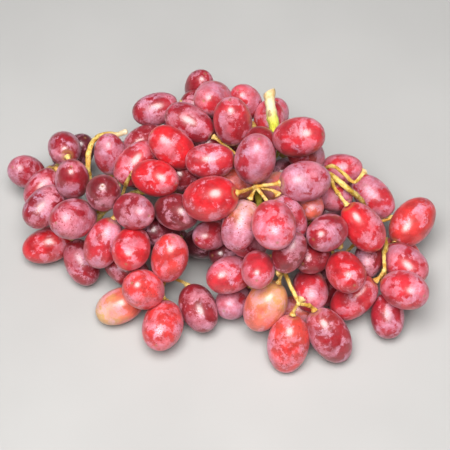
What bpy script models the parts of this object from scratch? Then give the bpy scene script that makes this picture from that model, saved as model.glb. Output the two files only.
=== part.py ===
"""A bunch of longish red grapes lying on its side: one grown stem and the berries of each side branch.

Units are metres, Z is up and the bunch rests on Z = 0. The cut stalk points away and up.
The bunch was read from one picture: each berry that shows there is an ellipse in SEEN_BERRIES, and its place
is the point at its height on the line of sight. Berries that don't show are filled in by a seeded rule.
Then all of them are eased apart until they only press on their neighbours.
"""
import heapq
import math
from types import SimpleNamespace

import bmesh
import bpy
import numpy as np
from mathutils import Matrix
from mathutils import Vector

MM = 0.001

# Berries
BERRY_RADIUS = 8.0 * MM
BERRY_RATIO = 1.40
BERRY_RATIO_MOST = 1.50
TURNED_RATIO = 1.30
TURNED_LEAN = math.radians(20.0)
BERRY_FACET_GROWTH = 1.04
BERRY_MIN_HEIGHT = 7.6 * MM
HIDDEN_TOP = 53.0 * MM
HIDDEN_BACK = 60.0 * MM
HIDDEN_SPACING = 18.5 * MM
HIDDEN_TRIES = 9000
SEED = 7

# How berries meet
PRESS = 0.8 * MM
CLEARANCE = 0.75 * MM
REST_DIP = 0.6 * MM
TURNED_SUPPLE = 0.01
SEEN_SUPPLE = 0.15
HIDDEN_SUPPLE = 0.8
FIRST_ROUNDS = 120
EASING_ROUNDS = 300

# Stem
NODE_GAP = 0.3 * MM
WELD = 0.002 * MM
STALKLET_RADIUS = 0.95 * MM
STALKLET_ROOT = 0.7 * MM
SEAT_RADIUS = 2.1 * MM
SEAT_GAP = 0.5 * MM
SEAT_DEPTH = 2.2 * MM
STALKLET_DETOUR = 12.0 * MM
RUN_END_PULL = 7.0 * MM
STRAIGHT_ENOUGH = math.cos(math.radians(40))
STEM_SIDES = 5
STALKLET_SIDES = 4
STEM_STEP = 12.0 * MM
ROUTE_STEP = 3.0 * MM

# The picture: 450 by 450 pixels, taken from the front, looking down
PICTURE_MIDDLE = 225.0
PIXEL_SLOPE = 0.000725
LOOK_DOWN = math.radians(55.0)
VIEW_DISTANCE = 636.0 * MM
LOOK_AT = np.array([0.0, -13.0 * MM, 23.0 * MM])
LOOK = np.array([0.0, math.cos(LOOK_DOWN), -math.sin(LOOK_DOWN)])
RIGHT = np.array([1.0, 0.0, 0.0])
UP = np.array([0.0, math.sin(LOOK_DOWN), math.cos(LOOK_DOWN)])
EYE = LOOK_AT - VIEW_DISTANCE * LOOK

# Colours, as linear red, green and blue
BERRY_RED = (0.42, 0.05, 0.07, 1.0)
BERRY_DARK = (0.27, 0.04, 0.08, 1.0)
STEM_GREEN = (0.62, 0.55, 0.13, 1.0)

# The berries of each side branch that show: x and y of the middle, width and length in pixels,
# angle of the long side in degrees and height of the middle over the table in millimetres
SEEN_BERRIES = {
    "left_tip": (
        (31.6, 173.4, 33, 40, -20, 21),
        (64.3, 148.2, 33, 35.5, 121, 35),
        (78, 152, 31, 36, 60, 25),
        (54, 179, 32, 38, 45, 17),
        (42.5, 188.3, 30, 46, 52, 25),
        (73.2, 178.3, 36, 39, 100, 45),
        (45.1, 207.3, 36, 47, 50, 34),
    ),
    "left_front": (
        (75.2, 219.9, 40, 45, 25, 36),
        (47.4, 245.2, 35.5, 51.5, 22, 10),
        (81.8, 262.4, 33.5, 49, 110, 12),
        (101, 240.9, 37, 53, 65, 32),
    ),
    "left_inner": (
        (103.3, 192.4, 35.5, 36.5, 80, 49),
        (135.5, 211, 36, 42.5, -12, 49),
        (132, 247.5, 37.5, 43.5, 75, 34),
        (126.3, 269.6, 34, 48, -35, 15),
    ),
    "left_back": (
        (106.8, 153.9, 32, 41, 95, 42),
        (126, 159, 32, 38, 90, 28),
    ),
    "front_left": (
        (167.9, 256.7, 38, 47.5, 82, 28),
        (143.5, 288.8, 39.5, 42, -30, 23),
        (120.5, 304.9, 35, 51, 28, 10),
        (161.6, 327, 41, 46, 80, 11),
        (200, 307.8, 37, 49.5, 118, 10),
    ),
    "top_left": (
        (155.9, 109.4, 32.5, 47.5, 8, 45),
        (189.4, 123.2, 35, 53, -33, 53),
        (147, 143, 33, 44, 30, 40),
        (134.9, 163.4, 34.5, 51.5, 48, 42),
        (172.2, 147, 38, 51, -35, 59),
    ),
    "centre_left": (
        (154.4, 180, 37, 48, -12, 57),
        (175.7, 211.6, 37.5, 46, -10, 49),
        (210.4, 160.8, 35.5, 50.5, 5, 64),
        (169.3, 163.4, 33, 40, 0, 40),
        (185, 176, 33, 40, 0, 36),
    ),
    "top": (
        (199.5, 86.7, 28, 33, 60, 42),
        (211.8, 99.4, 36.5, 38.5, 30, 56),
        (233, 121.8, 38.5, 48, 100, 64),
        (247.5, 107.5, 31, 36, -55, 49),
        (213.8, 141.8, 33, 42, 0, 45),
    ),
    "top_right": (
        (262, 122, 32, 46, 100, 45),
        (275.9, 114, 27, 31, 90, 38),
        (299.1, 137.5, 39.5, 49.5, 8, 61),
        (307, 156.5, 34, 40, -30, 47),
        (286, 168, 34, 42, 10, 40),
    ),
    "centre": (
        (255.5, 161.4, 41.5, 49, 78, 68),
        (210.4, 198.7, 45, 56, 12, 66),
        (305.7, 179.7, 40, 52, 5, 64),
        (238, 185, 33, 40, 0, 47),
        (274.1, 184.3, 30, 36, 0, 49),
    ),
    "right": (
        (330, 192, 34, 42, -20, 45),
        (309.4, 203.6, 29, 34, 90, 47),
        (333, 210.7, 32, 40, 0, 30),
        (325.8, 232.8, 36.5, 46, 15, 47),
    ),
    "right_back": (
        (338, 167.7, 30, 42, -10, 42),
        (373.1, 196.4, 34.5, 52, -48, 32),
        (362.5, 227.4, 38, 56, -52, 45),
    ),
    "right_tip": (
        (412.5, 222.2, 39, 56.5, 48, 25),
        (405.3, 263.8, 37, 49, -42, 21),
        (402.5, 253, 30, 40, -40, 10),
        (404.1, 289.7, 39, 47, -18, 28),
        (387.6, 315.6, 33, 46, 95, 10),
    ),
    "right_front": (
        (345.6, 271.9, 37.5, 42, 110, 38),
        (353.6, 299.1, 36, 54, 40, 18),
        (313.4, 254.4, 34, 38, 20, 32),
        (368, 258, 30, 40, 80, 23),
    ),
    "middle": (
        (273.5, 225, 44, 50, 95, 64),
        (290.5, 218.8, 34, 49, -55, 53),
        (287.6, 253, 32, 44, 60, 40),
        (241.1, 225.7, 35.5, 53, 70, 49),
        (211.8, 235.1, 31, 38, 20, 38),
    ),
    "front": (
        (262.6, 268.1, 34.5, 38, 70, 42),
        (230.5, 274.7, 36.5, 49, 15, 30),
        (234.8, 301.1, 34, 37, 60, 10),
        (202.4, 243.7, 32, 42, 0, 19),
        (226.8, 252.4, 30, 38, 0, 19),
        (159.3, 233.7, 33, 40, 0, 23),
    ),
    "tip": (
        (267, 308.5, 41, 54, 62, 21),
        (285, 341.3, 41.5, 59, 84, 11),
        (330.7, 337, 40, 60, 121, 15.5),
        (309.1, 289.2, 34.5, 40, 70, 16),
        (325, 289, 31, 40, 70, 10),
        (302, 308, 32, 45, 15, 8),
    ),
}

# Which of them lean away from the viewer, so that their stem ends show
TURNED_BERRIES = {
    "left_tip": (1,),
    "left_front": (3,),
    "centre": (1, 2),
    "right_back": (2,),
    "right_tip": (0,),
    "right_front": (1,),
    "tip": (0, 1, 2),
}

# The stem: radius at the start and end of each run in millimetres, then its points,
# as x and y in pixels and height over the table in millimetres
STEM_RUNS = {
    "stalk": (2.4, 2.0, ((269, 90, 68), (271, 110, 64), (275, 131, 57), (277, 150, 44))),
    "spine": (2.0, 1.3, (
        (277, 150, 44), (263, 170, 37), (258, 190, 34), (262, 212, 34), (271, 236, 34),
    )),
    "fork": (1.2, 0.8, ((271, 236, 34), (280, 256, 36), (284.5, 271, 34), (291, 287, 32), (299, 303, 31))),
    "fork_side": (0.8, 0.8, ((280.5, 260, 35.5), (280.5, 268, 37), (281, 273, 37))),
    "fork_right": (0.8, 0.8, ((299, 303, 31), (308.5, 305.5, 28.5))),
    "fork_stub": (0.8, 0.9, ((299, 303, 31), (303, 297, 33))),
    "centre": (1.4, 1.1, ((263, 170, 37), (258, 179, 48), (256, 187, 62))),
    "left": (1.9, 1.2, (
        (258, 190, 34), (235, 192, 32), (205, 190, 28), (170, 190, 28),
        (140, 192, 28), (115, 200, 30), (92, 190, 28), (70, 176, 28), (54, 169, 24),
    )),
    "left_shoot": (1.1, 0.95, (
        (92, 190, 28), (89, 176, 36), (88, 165, 42), (89.5, 149, 45),
        (96, 138.5, 44), (106, 134, 42), (117, 134.5, 43), (127.5, 131, 46),
    )),
    "right": (1.6, 0.9, (
        (277, 150, 44), (291, 160, 30), (306, 168, 30), (320, 172, 42), (332, 176, 54), (347, 188, 54),
        (362, 201, 42), (366, 216, 26), (376, 234, 24), (386, 242, 28), (384, 252, 30),
    )),
    "right_twig": (0.85, 0.8, (
        (320, 172, 42), (328, 167, 51), (334, 166.5, 54), (343, 173, 56),
        (353, 182, 56), (358, 180, 56), (363, 173, 57), (366.5, 170, 58),
    )),
    "right_inner": (0.9, 0.8, ((332, 176, 54), (333, 185, 54), (337, 192, 54.5))),
    "right_tip": (0.9, 0.8, ((384, 252, 30), (384.5, 270, 30))),
    "top": (1.4, 1.1, (
        (263, 170, 37), (258, 150, 46), (256, 138, 51), (253, 125, 50), (244, 121, 36), (226, 116, 34),
    )),
    "top_left": (1.4, 1.1, ((235, 192, 32), (215, 168, 28), (192, 150, 28), (166, 132, 34))),
    "front_left": (
        1.4,
        1.1,
        ((170, 190, 28), (166, 215, 24), (160, 245, 18), (160, 275, 14), (163, 298, 16)),
    ),
    "left_front": (1.3, 1.1, ((115, 200, 30), (100, 216, 24), (84, 234, 18))),
    "right_front": (1.3, 1.1, ((271, 236, 34), (300, 240, 28), (325, 246, 32), (341, 247, 40))),
    "front": (1.3, 1.1, ((271, 236, 34), (256, 262, 26), (250, 285, 20))),
    "back_left": (1.4, 1.1, ((215, 168, 28), (208, 142, 22), (205, 122, 16))),
    "back_right": (1.4, 1.1, ((291, 160, 30), (286, 140, 24), (275, 125, 18))),
}

# The runs that bear no berries
BARE_RUNS = ("stalk", "left_shoot", "right_twig", "fork_stub")


# Reading the picture


def sight_lines(x, y):
    """Direction of the line of sight through pixel x, y, one unit long along the middle line."""
    across = (np.asarray(x, float) - PICTURE_MIDDLE) * PIXEL_SLOPE
    upward = (PICTURE_MIDDLE - np.asarray(y, float)) * PIXEL_SLOPE
    return LOOK + across[..., None] * RIGHT + upward[..., None] * UP


def place(x, y, height):
    """The point that shows at pixel x, y and stands at this height."""
    line = sight_lines(x, y)
    reach = (np.asarray(height) - EYE[2]) / line[..., 2]
    return EYE + line * reach[..., None]


def pixel_of(points):
    """Pixel x and y where points show, and their depth."""
    offset = points - EYE
    depth = offset @ LOOK
    x = PICTURE_MIDDLE + offset @ RIGHT / depth / PIXEL_SLOPE
    y = PICTURE_MIDDLE - offset @ UP / depth / PIXEL_SLOPE
    return x, y, depth


def unit(vectors):
    return vectors / np.linalg.norm(vectors, axis=-1, keepdims=True)


def read_berry(stem_places, turned, x, y, width, length, angle, height):
    """Middle, axis, radius and half length of a berry from its ellipse in the picture.

    The ellipse is as wide as the berry. Where it is shorter than the berry, the berry leans towards
    the viewer, or away from the viewer if it is a turned one. Its stem end is the one nearer the stem.
    """
    middle = place(x, y, height * MM)
    depth = (middle - EYE) @ LOOK
    radius = width / 2 * PIXEL_SLOPE * depth
    shown = length / 2 * PIXEL_SLOPE * depth
    if turned:
        longest = math.sqrt(radius**2 + (shown**2 - radius**2) / math.cos(TURNED_LEAN) ** 2)
        half = max(longest, TURNED_RATIO * radius)
    else:
        half = min(max(shown, BERRY_RATIO * radius), BERRY_RATIO_MOST * radius)
    cosine = math.sqrt(max(shown**2 - radius**2, 0) / (half**2 - radius**2))
    lean = min(math.acos(min(cosine, 1.0)), math.radians(75))
    across = math.cos(math.radians(angle))
    upward = math.sin(math.radians(angle))
    sideways = math.cos(lean) * (across * RIGHT + upward * UP)
    inward = math.sin(lean) * (1 if turned else -1) * LOOK
    choices = [inward + sideways, inward - sideways]
    reach = [np.linalg.norm(middle - half * axis - stem_places, axis=1).min() for axis in choices]
    return middle, choices[int(np.argmin(reach))], radius, half


def seen_berries():
    """The berries that show, as arrays."""
    stem_places = bearing_places()
    rows = []
    supple = []
    for name, ellipses in SEEN_BERRIES.items():
        for number, ellipse in enumerate(ellipses):
            turned = number in TURNED_BERRIES.get(name, ())
            rows.append(read_berry(stem_places, turned, *ellipse))
            supple.append(TURNED_SUPPLE if turned else SEEN_SUPPLE)
    middle, axis, radius, half = (np.array(column) for column in zip(*rows))
    seen = np.ones(len(rows), bool)
    supple = np.array(supple)
    return SimpleNamespace(middle=middle, axis=axis, radius=radius, half=half, seen=seen, supple=supple)


# The stem's runs


def curve_through(points, step):
    """Points about a step apart on a smooth curve through the points given."""
    points = np.asarray(points, float)
    ends = np.vstack([2 * points[0] - points[1], points, 2 * points[-1] - points[-2]])
    line = []
    for a, b, c, d in zip(ends[:-3], ends[1:-2], ends[2:-1], ends[3:]):
        count = max(int(np.linalg.norm(c - b) / step + 0.5), 1)
        for t in np.arange(count) / count:
            bend = 2 * b + (c - a) * t + (2 * a - 5 * b + 4 * c - d) * t**2 + (3 * b - a - 3 * c + d) * t**3
            line.append(bend / 2)
    line.append(points[-1])
    return np.array(line)


def stem_run(name, step):
    """Middle line and radii of one run of the stem."""
    first, last, points = STEM_RUNS[name]
    x, y, height = np.array(points, float).T
    line = curve_through(place(x, y, height * MM), step)
    return line, np.linspace(first * MM, last * MM, len(line))


def stem_beads():
    """Points and radii along all the stem's runs, close enough together to find what is near."""
    runs = [stem_run(name, ROUTE_STEP) for name in STEM_RUNS]
    return np.concatenate([line for line, radii in runs]), np.concatenate([radii for line, radii in runs])


def bearing_places():
    """Points along the runs that bear berries."""
    return np.concatenate([stem_run(name, ROUTE_STEP)[0] for name in STEM_RUNS if name not in BARE_RUNS])


# Berries that don't show


def under_seen(x, y, growth):
    """Whether pixels lie in the ellipse of a berry that shows."""
    inside = np.zeros(np.shape(x), bool)
    for ellipses in SEEN_BERRIES.values():
        for middle_x, middle_y, width, length, angle, height in ellipses:
            turn = math.radians(angle)
            right = x - middle_x
            up = middle_y - y
            along = (right * math.cos(turn) + up * math.sin(turn)) / (length / 2 * growth)
            across = (up * math.cos(turn) - right * math.sin(turn)) / (width / 2 * growth)
            inside |= along**2 + across**2 < 1
    return inside


def outline_pixels(middle, axis, radius, half):
    """Sixteen pixels round the outline of each berry."""
    x, y, depth = pixel_of(middle)
    shown = np.stack([axis @ RIGHT, -(axis @ UP)], 1)
    side_on = np.linalg.norm(shown, axis=1)
    shown = shown / side_on[:, None]
    long = np.sqrt((half * side_on) ** 2 + radius**2 * (1 - side_on**2)) / depth / PIXEL_SLOPE
    short = radius / depth / PIXEL_SLOPE
    turn = np.linspace(0, 2 * math.pi, 16, endpoint=False)
    along = long[:, None] * np.cos(turn)
    across = short[:, None] * np.sin(turn)
    outline_x = x[:, None] + along * shown[:, :1] - across * shown[:, 1:]
    outline_y = y[:, None] + along * shown[:, 1:] + across * shown[:, :1]
    return outline_x, outline_y


def hidden_berries(seen):
    """Berries at seeded places under the seen ones in the picture, clear of them and of each other."""
    random = np.random.default_rng(SEED)
    x = random.uniform(15, 435, HIDDEN_TRIES)
    y = random.uniform(70, 370, HIDDEN_TRIES)
    height = random.uniform(BERRY_MIN_HEIGHT, HIDDEN_TOP, HIDDEN_TRIES)
    radius = BERRY_RADIUS * random.uniform(0.93, 1.05, HIDDEN_TRIES)
    half = radius * random.uniform(1.34, 1.46, HIDDEN_TRIES)
    wander = random.uniform(-4 * MM, 4 * MM, (HIDDEN_TRIES, 3))
    middle = place(x, y, height)
    bearing = bearing_places()
    nearest = np.linalg.norm(middle[:, None] - bearing, axis=2).argmin(1)
    axis = unit(middle - bearing[nearest] + wander)
    outline_x, outline_y = outline_pixels(middle, axis, radius, half)
    fits = under_seen(outline_x, outline_y, 1.0).mean(1) > 0.97
    fits &= behind_seen(middle, seen)
    fits &= middle[:, 1] < HIDDEN_BACK
    fits &= (np.linalg.norm(middle[:, None] - seen.middle, axis=2) > HIDDEN_SPACING - 3 * MM).all(1)
    chosen = []
    for trial in np.nonzero(fits)[0]:
        apart = np.linalg.norm(middle[chosen] - middle[trial], axis=1)
        if (apart > HIDDEN_SPACING).all():
            chosen.append(trial)
    return middle[chosen], axis[chosen], radius[chosen], half[chosen]


def behind_seen(middle, seen):
    """Whether each point is farther off than a seen berry on its line of sight, and in front of none."""
    sight = middle - EYE
    distance = np.linalg.norm(sight, axis=1)
    sight = sight / distance[:, None]
    offset = seen.middle - EYE
    along = sight @ offset.T
    aside = np.sqrt(np.maximum((offset**2).sum(1) - along**2, 0))
    on_line = aside < 9 * MM
    nearer = on_line & (along < distance[:, None] - 8 * MM)
    level = on_line & (along > distance[:, None] - 2 * MM)
    return nearer.any(1) | ((on_line & (along < distance[:, None])).any(1) & ~level.any(1))


# Easing the berries apart


def balls_of(berries):
    """Five balls that fill each berry: their places, radii and distance along its axis."""
    reach = berries.half - berries.radius**2 / berries.half
    along = np.linspace(-1, 1, 5) * reach[:, None]
    focus = (berries.half**2 - berries.radius**2)[:, None]
    radii = berries.radius[:, None] * np.sqrt(1 - along**2 / focus)
    return berries.middle[:, None] + along[:, :, None] * berries.axis[:, None], radii, along


def neighbours(berries):
    """Pairs of near berries: first, second, gap, direction from first to second and where on each axis."""
    balls, radii, along = balls_of(berries)
    apart = np.linalg.norm(berries.middle[:, None] - berries.middle, axis=2)
    near = apart < berries.half[:, None] + berries.half + 4 * MM
    first, second = np.nonzero(np.triu(near, 1))
    offset = balls[second][:, None, :, :] - balls[first][:, :, None, :]
    distance = np.linalg.norm(offset, axis=3)
    gap = (distance - radii[first][:, :, None] - radii[second][:, None, :]).reshape(len(first), -1)
    best = gap.argmin(1)
    pair = np.arange(len(first))
    ball_a = best // 5
    ball_b = best % 5
    direction = offset[pair, ball_a, ball_b] / distance[pair, ball_a, ball_b][:, None]
    return first, second, gap[pair, best], direction, along[first, ball_a], along[second, ball_b]


def push_from_stem(berries, beads):
    """How far each berry has to move to be clear of the beads along the stem's runs."""
    places, bead_radii = beads
    balls, radii, along = balls_of(berries)
    offset = balls[:, :, None] - places
    distance = np.linalg.norm(offset, axis=3)
    gap = (distance - radii[:, :, None] - bead_radii - NODE_GAP).reshape(len(balls), -1)
    best = gap.argmin(1)
    row = np.arange(len(balls))
    ball = best // len(places)
    bead = best % len(places)
    direction = offset[row, ball, bead] / distance[row, ball, bead][:, None]
    return np.maximum(-gap[row, best], 0)[:, None] * direction


def half_height(berries):
    """How far each berry reaches below its middle."""
    rise = berries.axis[:, 2]
    return np.sqrt((berries.half * rise) ** 2 + berries.radius**2 * (1 - rise**2))


def ease(berries, branch, linked, beads, rounds):
    """Move the berries until they only press on their linked neighbours and rest on the table.

    A seen berry moves along its line of sight and hardly across it. The others move freely and sink,
    give way more, and turn their stem ends to the stem. Its supple value is how readily a berry turns.
    """
    home = berries.middle.copy()
    bearing = bearing_places()
    sight = unit(home - EYE)
    seen = berries.seen[:, None]
    count = len(home)
    for turn in range(rounds):
        first, second, gap, direction, along_a, along_b = neighbours(berries)
        together = branch[first] == branch[second]
        push = np.maximum(np.where(together, -PRESS, CLEARANCE) - gap, 0)
        held = linked[first, second]
        push = push + np.where(held, 1.3 * np.minimum(0.1 * MM - PRESS - gap, 0), 0)
        shove = direction * push[:, None]
        weight = np.where(berries.seen, 1.0, 3.0)
        share_a = (weight[first] / (weight[first] + weight[second]))[:, None]
        share_b = 1 - share_a
        move = np.zeros((count, 3))
        twist = np.zeros((count, 3))
        busy = np.zeros(count)
        np.add.at(move, first, -shove * share_a)
        np.add.at(move, second, shove * share_b)
        np.add.at(twist, first, -shove * share_a * along_a[:, None])
        np.add.at(twist, second, shove * share_b * along_b[:, None])
        np.add.at(busy, first, push != 0)
        np.add.at(busy, second, push != 0)
        share = 1.6 / np.maximum(busy, 1.6)
        move = move * share[:, None] + 0.6 * push_from_stem(berries, beads)
        along_sight = (move * sight).sum(1)[:, None] * sight
        berries.middle += np.where(seen, along_sight + 0.5 * (move - along_sight), move)
        berries.axis = unit(berries.axis + twist * (berries.supple * share / berries.radius**2)[:, None])
        nearest = np.linalg.norm(berries.middle[:, None] - bearing, axis=2).argmin(1)
        outward = unit(berries.middle - bearing[nearest])
        berries.axis = unit(berries.axis + np.where(seen, 0, 0.04) * outward)
        calm = 1 - turn / rounds
        back = home - berries.middle
        back_along = (back * sight).sum(1)[:, None] * sight
        berries.middle += np.where(seen, 0.06 * (back - back_along) + 0.02 * calm * back_along, 0)
        berries.middle[:, 2] -= np.where(berries.seen, 0, 0.06 * MM * calm)
        under = np.maximum(half_height(berries) - REST_DIP - berries.middle[:, 2], 0)
        rise = np.where(seen, sight / sight[:, 2:], np.array([0.0, 0.0, 1.0]))
        berries.middle += rise * under[:, None]


def share_out(berries):
    """Give each berry to a side branch, so that the berries of a branch touch one another in a chain.

    Each side branch grows from the berry nearest the middle of its seen ones, always by the berry nearest
    that middle among those beside it. Returns each berry's branch and the pairs that hold a branch together.
    """
    first, second, gap, direction, along_a, along_b = neighbours(berries)
    beside = [[] for berry in berries.middle]
    for a, b, space in zip(first, second, 15 * np.maximum(gap - 1.2 * MM, 0)):
        beside[a].append((b, space))
        beside[b].append((a, space))
    sizes = [len(ellipses) for ellipses in SEEN_BERRIES.values()]
    own = np.repeat(np.arange(len(sizes)), sizes)
    own = np.concatenate([own, np.full(len(berries.middle) - len(own), -1)])
    centres = np.array([berries.middle[own == number].mean(0) for number in range(len(sizes))])
    distance = np.linalg.norm(berries.middle[:, None] - centres, axis=2)
    distance[own[:, None] == np.arange(len(sizes))] *= 0.5
    count = len(berries.middle)
    branch = np.full(count, -1)
    linked = np.zeros((count, count), bool)
    waiting = []
    for number in range(len(sizes)):
        middle_one = np.where(own == number, distance[:, number], 1.0).argmin()
        waiting.append((0.0, int(middle_one), -1, number))
    while waiting:
        cost, berry, comes_from, number = heapq.heappop(waiting)
        if branch[berry] >= 0:
            continue
        branch[berry] = number
        if comes_from >= 0:
            linked[berry, comes_from] = linked[comes_from, berry] = True
        for other, space in beside[berry]:
            if branch[other] < 0:
                heapq.heappush(waiting, (distance[other, number] + space, other, berry, number))
    return branch, linked


def stalklet_starts(berries):
    """Where on the stem each berry's own short stalk starts.

    That is near by, best at the end of a run, with little turn and few berries in its way.
    """
    bearing = bearing_places()
    ends = [stem_run(name, ROUTE_STEP)[0][-1] for name in STEM_RUNS if name not in BARE_RUNS]
    at_end = (bearing[:, None] == np.array(ends)).all(2).any(1)
    starts = []
    steps = np.linspace(0.25, 1, 8)[:, None]
    for berry, (middle, axis, half) in enumerate(zip(berries.middle, berries.axis, berries.half)):
        neck = middle - axis * (half + SEAT_GAP + SEAT_DEPTH)
        distance = np.linalg.norm(bearing - neck, axis=1)
        near = distance < distance.min() + STALKLET_DETOUR
        points = bearing[near][:, None] * (1 - steps) + neck * steps
        offset = points[:, :, None] - berries.middle
        along = (offset * berries.axis).sum(3)
        across = (offset**2).sum(3) - along**2
        inside = (along / berries.half) ** 2 + across / berries.radius**2 < 1.2
        inside[:, :, berry] = False
        turn = 1 - unit(neck - bearing[near]) @ axis
        cost = distance[near] + STALKLET_DETOUR * (turn / 2 + inside.any(2).sum(1) / 5)
        cost -= RUN_END_PULL * at_end[near]
        starts.append(bearing[near][cost.argmin()])
    return np.array(starts)


def stalklet_line(berries, berry, start):
    """Middle line of a berry's own short stalk: from the stem to its neck, then to the berry's stem end."""
    axis = berries.axis[berry]
    seat = berries.middle[berry] - axis * (berries.half[berry] + SEAT_GAP)
    line = np.array([start, seat - axis * SEAT_DEPTH, seat])
    line[:, 2] = np.maximum(line[:, 2], 1.2 * SEAT_RADIUS)
    return line


def some_berries(berries, which):
    return SimpleNamespace(**{name: values[which] for name, values in vars(berries).items()})


def ease_apart(berries, beads, rounds):
    """Ease the berries apart with every pair kept clear."""
    count = len(berries.middle)
    ease(berries, np.arange(count), np.zeros((count, count), bool), beads, rounds)


def still_hidden(berries):
    """Which berries show as they should: the seen ones, and the others only where a seen one covers them."""
    seen = some_berries(berries, berries.seen)
    x, y = outline_pixels(berries.middle, berries.axis, berries.radius, berries.half)
    covered = under_seen(x, y, 1.0).mean(1) > 0.9
    return berries.seen | (covered & behind_seen(berries.middle, seen))


def lay_out_bunch():
    """Every berry of the bunch in place, its side branch, and where its stalklet starts."""
    berries = seen_berries()
    beads = stem_beads()
    ease_apart(berries, beads, FIRST_ROUNDS)
    added = hidden_berries(berries)
    berries.middle = np.concatenate([berries.middle, added[0]])
    berries.axis = np.concatenate([berries.axis, added[1]])
    berries.radius = np.concatenate([berries.radius, added[2]])
    berries.half = np.concatenate([berries.half, added[3]])
    berries.seen = np.concatenate([berries.seen, np.zeros(len(added[0]), bool)])
    berries.supple = np.concatenate([berries.supple, np.full(len(added[0]), HIDDEN_SUPPLE)])
    ease_apart(berries, beads, FIRST_ROUNDS)
    berries = some_berries(berries, still_hidden(berries))
    branch, linked = share_out(berries)
    ease(berries, branch, linked, beads, EASING_ROUNDS)
    return berries, branch, stalklet_starts(berries)


def middle_shift(berries):
    """What brings the middle of the bunch's footprint to the origin."""
    reach = np.sqrt(
        berries.half[:, None] ** 2 * berries.axis**2 + berries.radius[:, None] ** 2 * (1 - berries.axis**2)
    )
    low = (berries.middle - reach).min(0)
    high = (berries.middle + reach).max(0)
    return np.array([-(low[0] + high[0]) / 2, -(low[1] + high[1]) / 2, 0.0])


# Modelling


def new_object(name, mesh_builder, collection):
    """A mesh object made from a bmesh."""
    mesh = bpy.data.meshes.new(name)
    mesh_builder.to_mesh(mesh)
    mesh_builder.free()
    thing = bpy.data.objects.new(name, mesh)
    collection.objects.link(thing)
    return thing


def tube(name, line, radii, sides, collection):
    """A closed tube with flat ends along a line, with a ring of its own radius at each point."""
    builder = bmesh.new()
    previous = None
    aside = Vector((0.31, 0.22, 0.93))
    for number, (point, radius) in enumerate(zip(line, radii)):
        after = line[min(number + 1, len(line) - 1)]
        before = line[max(number - 1, 0)]
        forward = Vector(after - before).normalized()
        aside = (aside - forward * aside.dot(forward)).normalized()
        frame = Matrix((aside, forward.cross(aside), forward)).transposed().to_4x4()
        frame.translation = Vector(point)
        ring = bmesh.ops.create_circle(builder, segments=sides, radius=radius, matrix=frame)["verts"]
        if previous is None:
            builder.faces.new(list(reversed(ring)))
        else:
            for side in range(sides):
                follow = (side + 1) % sides
                builder.faces.new((previous[side], previous[follow], ring[follow], ring[side]))
        previous = ring
    builder.faces.new(previous)
    bmesh.ops.recalc_face_normals(builder, faces=builder.faces)
    return new_object(name, builder, collection)


def berry_body(name, middle, axis, radius, half, collection):
    """One berry: a ball of sixty even facets, drawn out along its axis.

    The ball has the corners of an icosahedron and a corner over each of its faces,
    and two facets along each of its edges.
    """
    guide = bmesh.new()
    bmesh.ops.create_icosphere(guide, subdivisions=1, radius=1.0)
    builder = bmesh.new()
    corner = {vertex: builder.verts.new(vertex.co.normalized()) for vertex in guide.verts}
    crown = {face: builder.verts.new(face.calc_center_median().normalized()) for face in guide.faces}
    for edge in guide.edges:
        one, other = edge.link_faces
        builder.faces.new((corner[edge.verts[0]], crown[one], crown[other]))
        builder.faces.new((corner[edge.verts[1]], crown[other], crown[one]))
    guide.free()
    bmesh.ops.recalc_face_normals(builder, faces=builder.faces)
    turn = Vector((0, 0, 1)).rotation_difference(Vector(axis)).to_matrix().to_4x4()
    size = Matrix.Diagonal((radius, radius, half, 1 / BERRY_FACET_GROWTH)) * BERRY_FACET_GROWTH
    builder.transform(Matrix.Translation(Vector(middle)) @ turn @ size)
    return new_object(name, builder, collection)


def apply_boolean(thing, operation, operands):
    """Apply one Boolean with every object of a collection.

    The solver is MANIFOLD, because EXACT leaves open edges where many thin tubes meet.
    """
    cut = thing.modifiers.new("join", "BOOLEAN")
    cut.operation = operation
    cut.operand_type = "COLLECTION"
    cut.collection = operands
    cut.solver = "MANIFOLD"
    shape = thing.evaluated_get(bpy.context.evaluated_depsgraph_get())
    mesh = bpy.data.meshes.new_from_object(shape)
    thing.modifiers.clear()
    old = thing.data
    thing.data = mesh
    bpy.data.meshes.remove(old)


def working_collection(name):
    collection = bpy.data.collections.new(name)
    bpy.context.scene.collection.children.link(collection)
    return collection


def remove_collection(collection):
    """Remove a working collection with its objects."""
    for thing in list(collection.objects):
        bpy.data.objects.remove(thing)
    bpy.data.collections.remove(collection)


def fuse(name, makers):
    """One solid from several: the first is joined with all the others."""
    operands = working_collection(name + "_pieces")
    thing = makers[0](bpy.context.scene.collection)
    for make in makers[1:]:
        make(operands)
    if len(makers) > 1:
        apply_boolean(thing, "UNION", operands)
    remove_collection(operands)
    thing.name = name
    thing.data.name = name
    return thing


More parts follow.
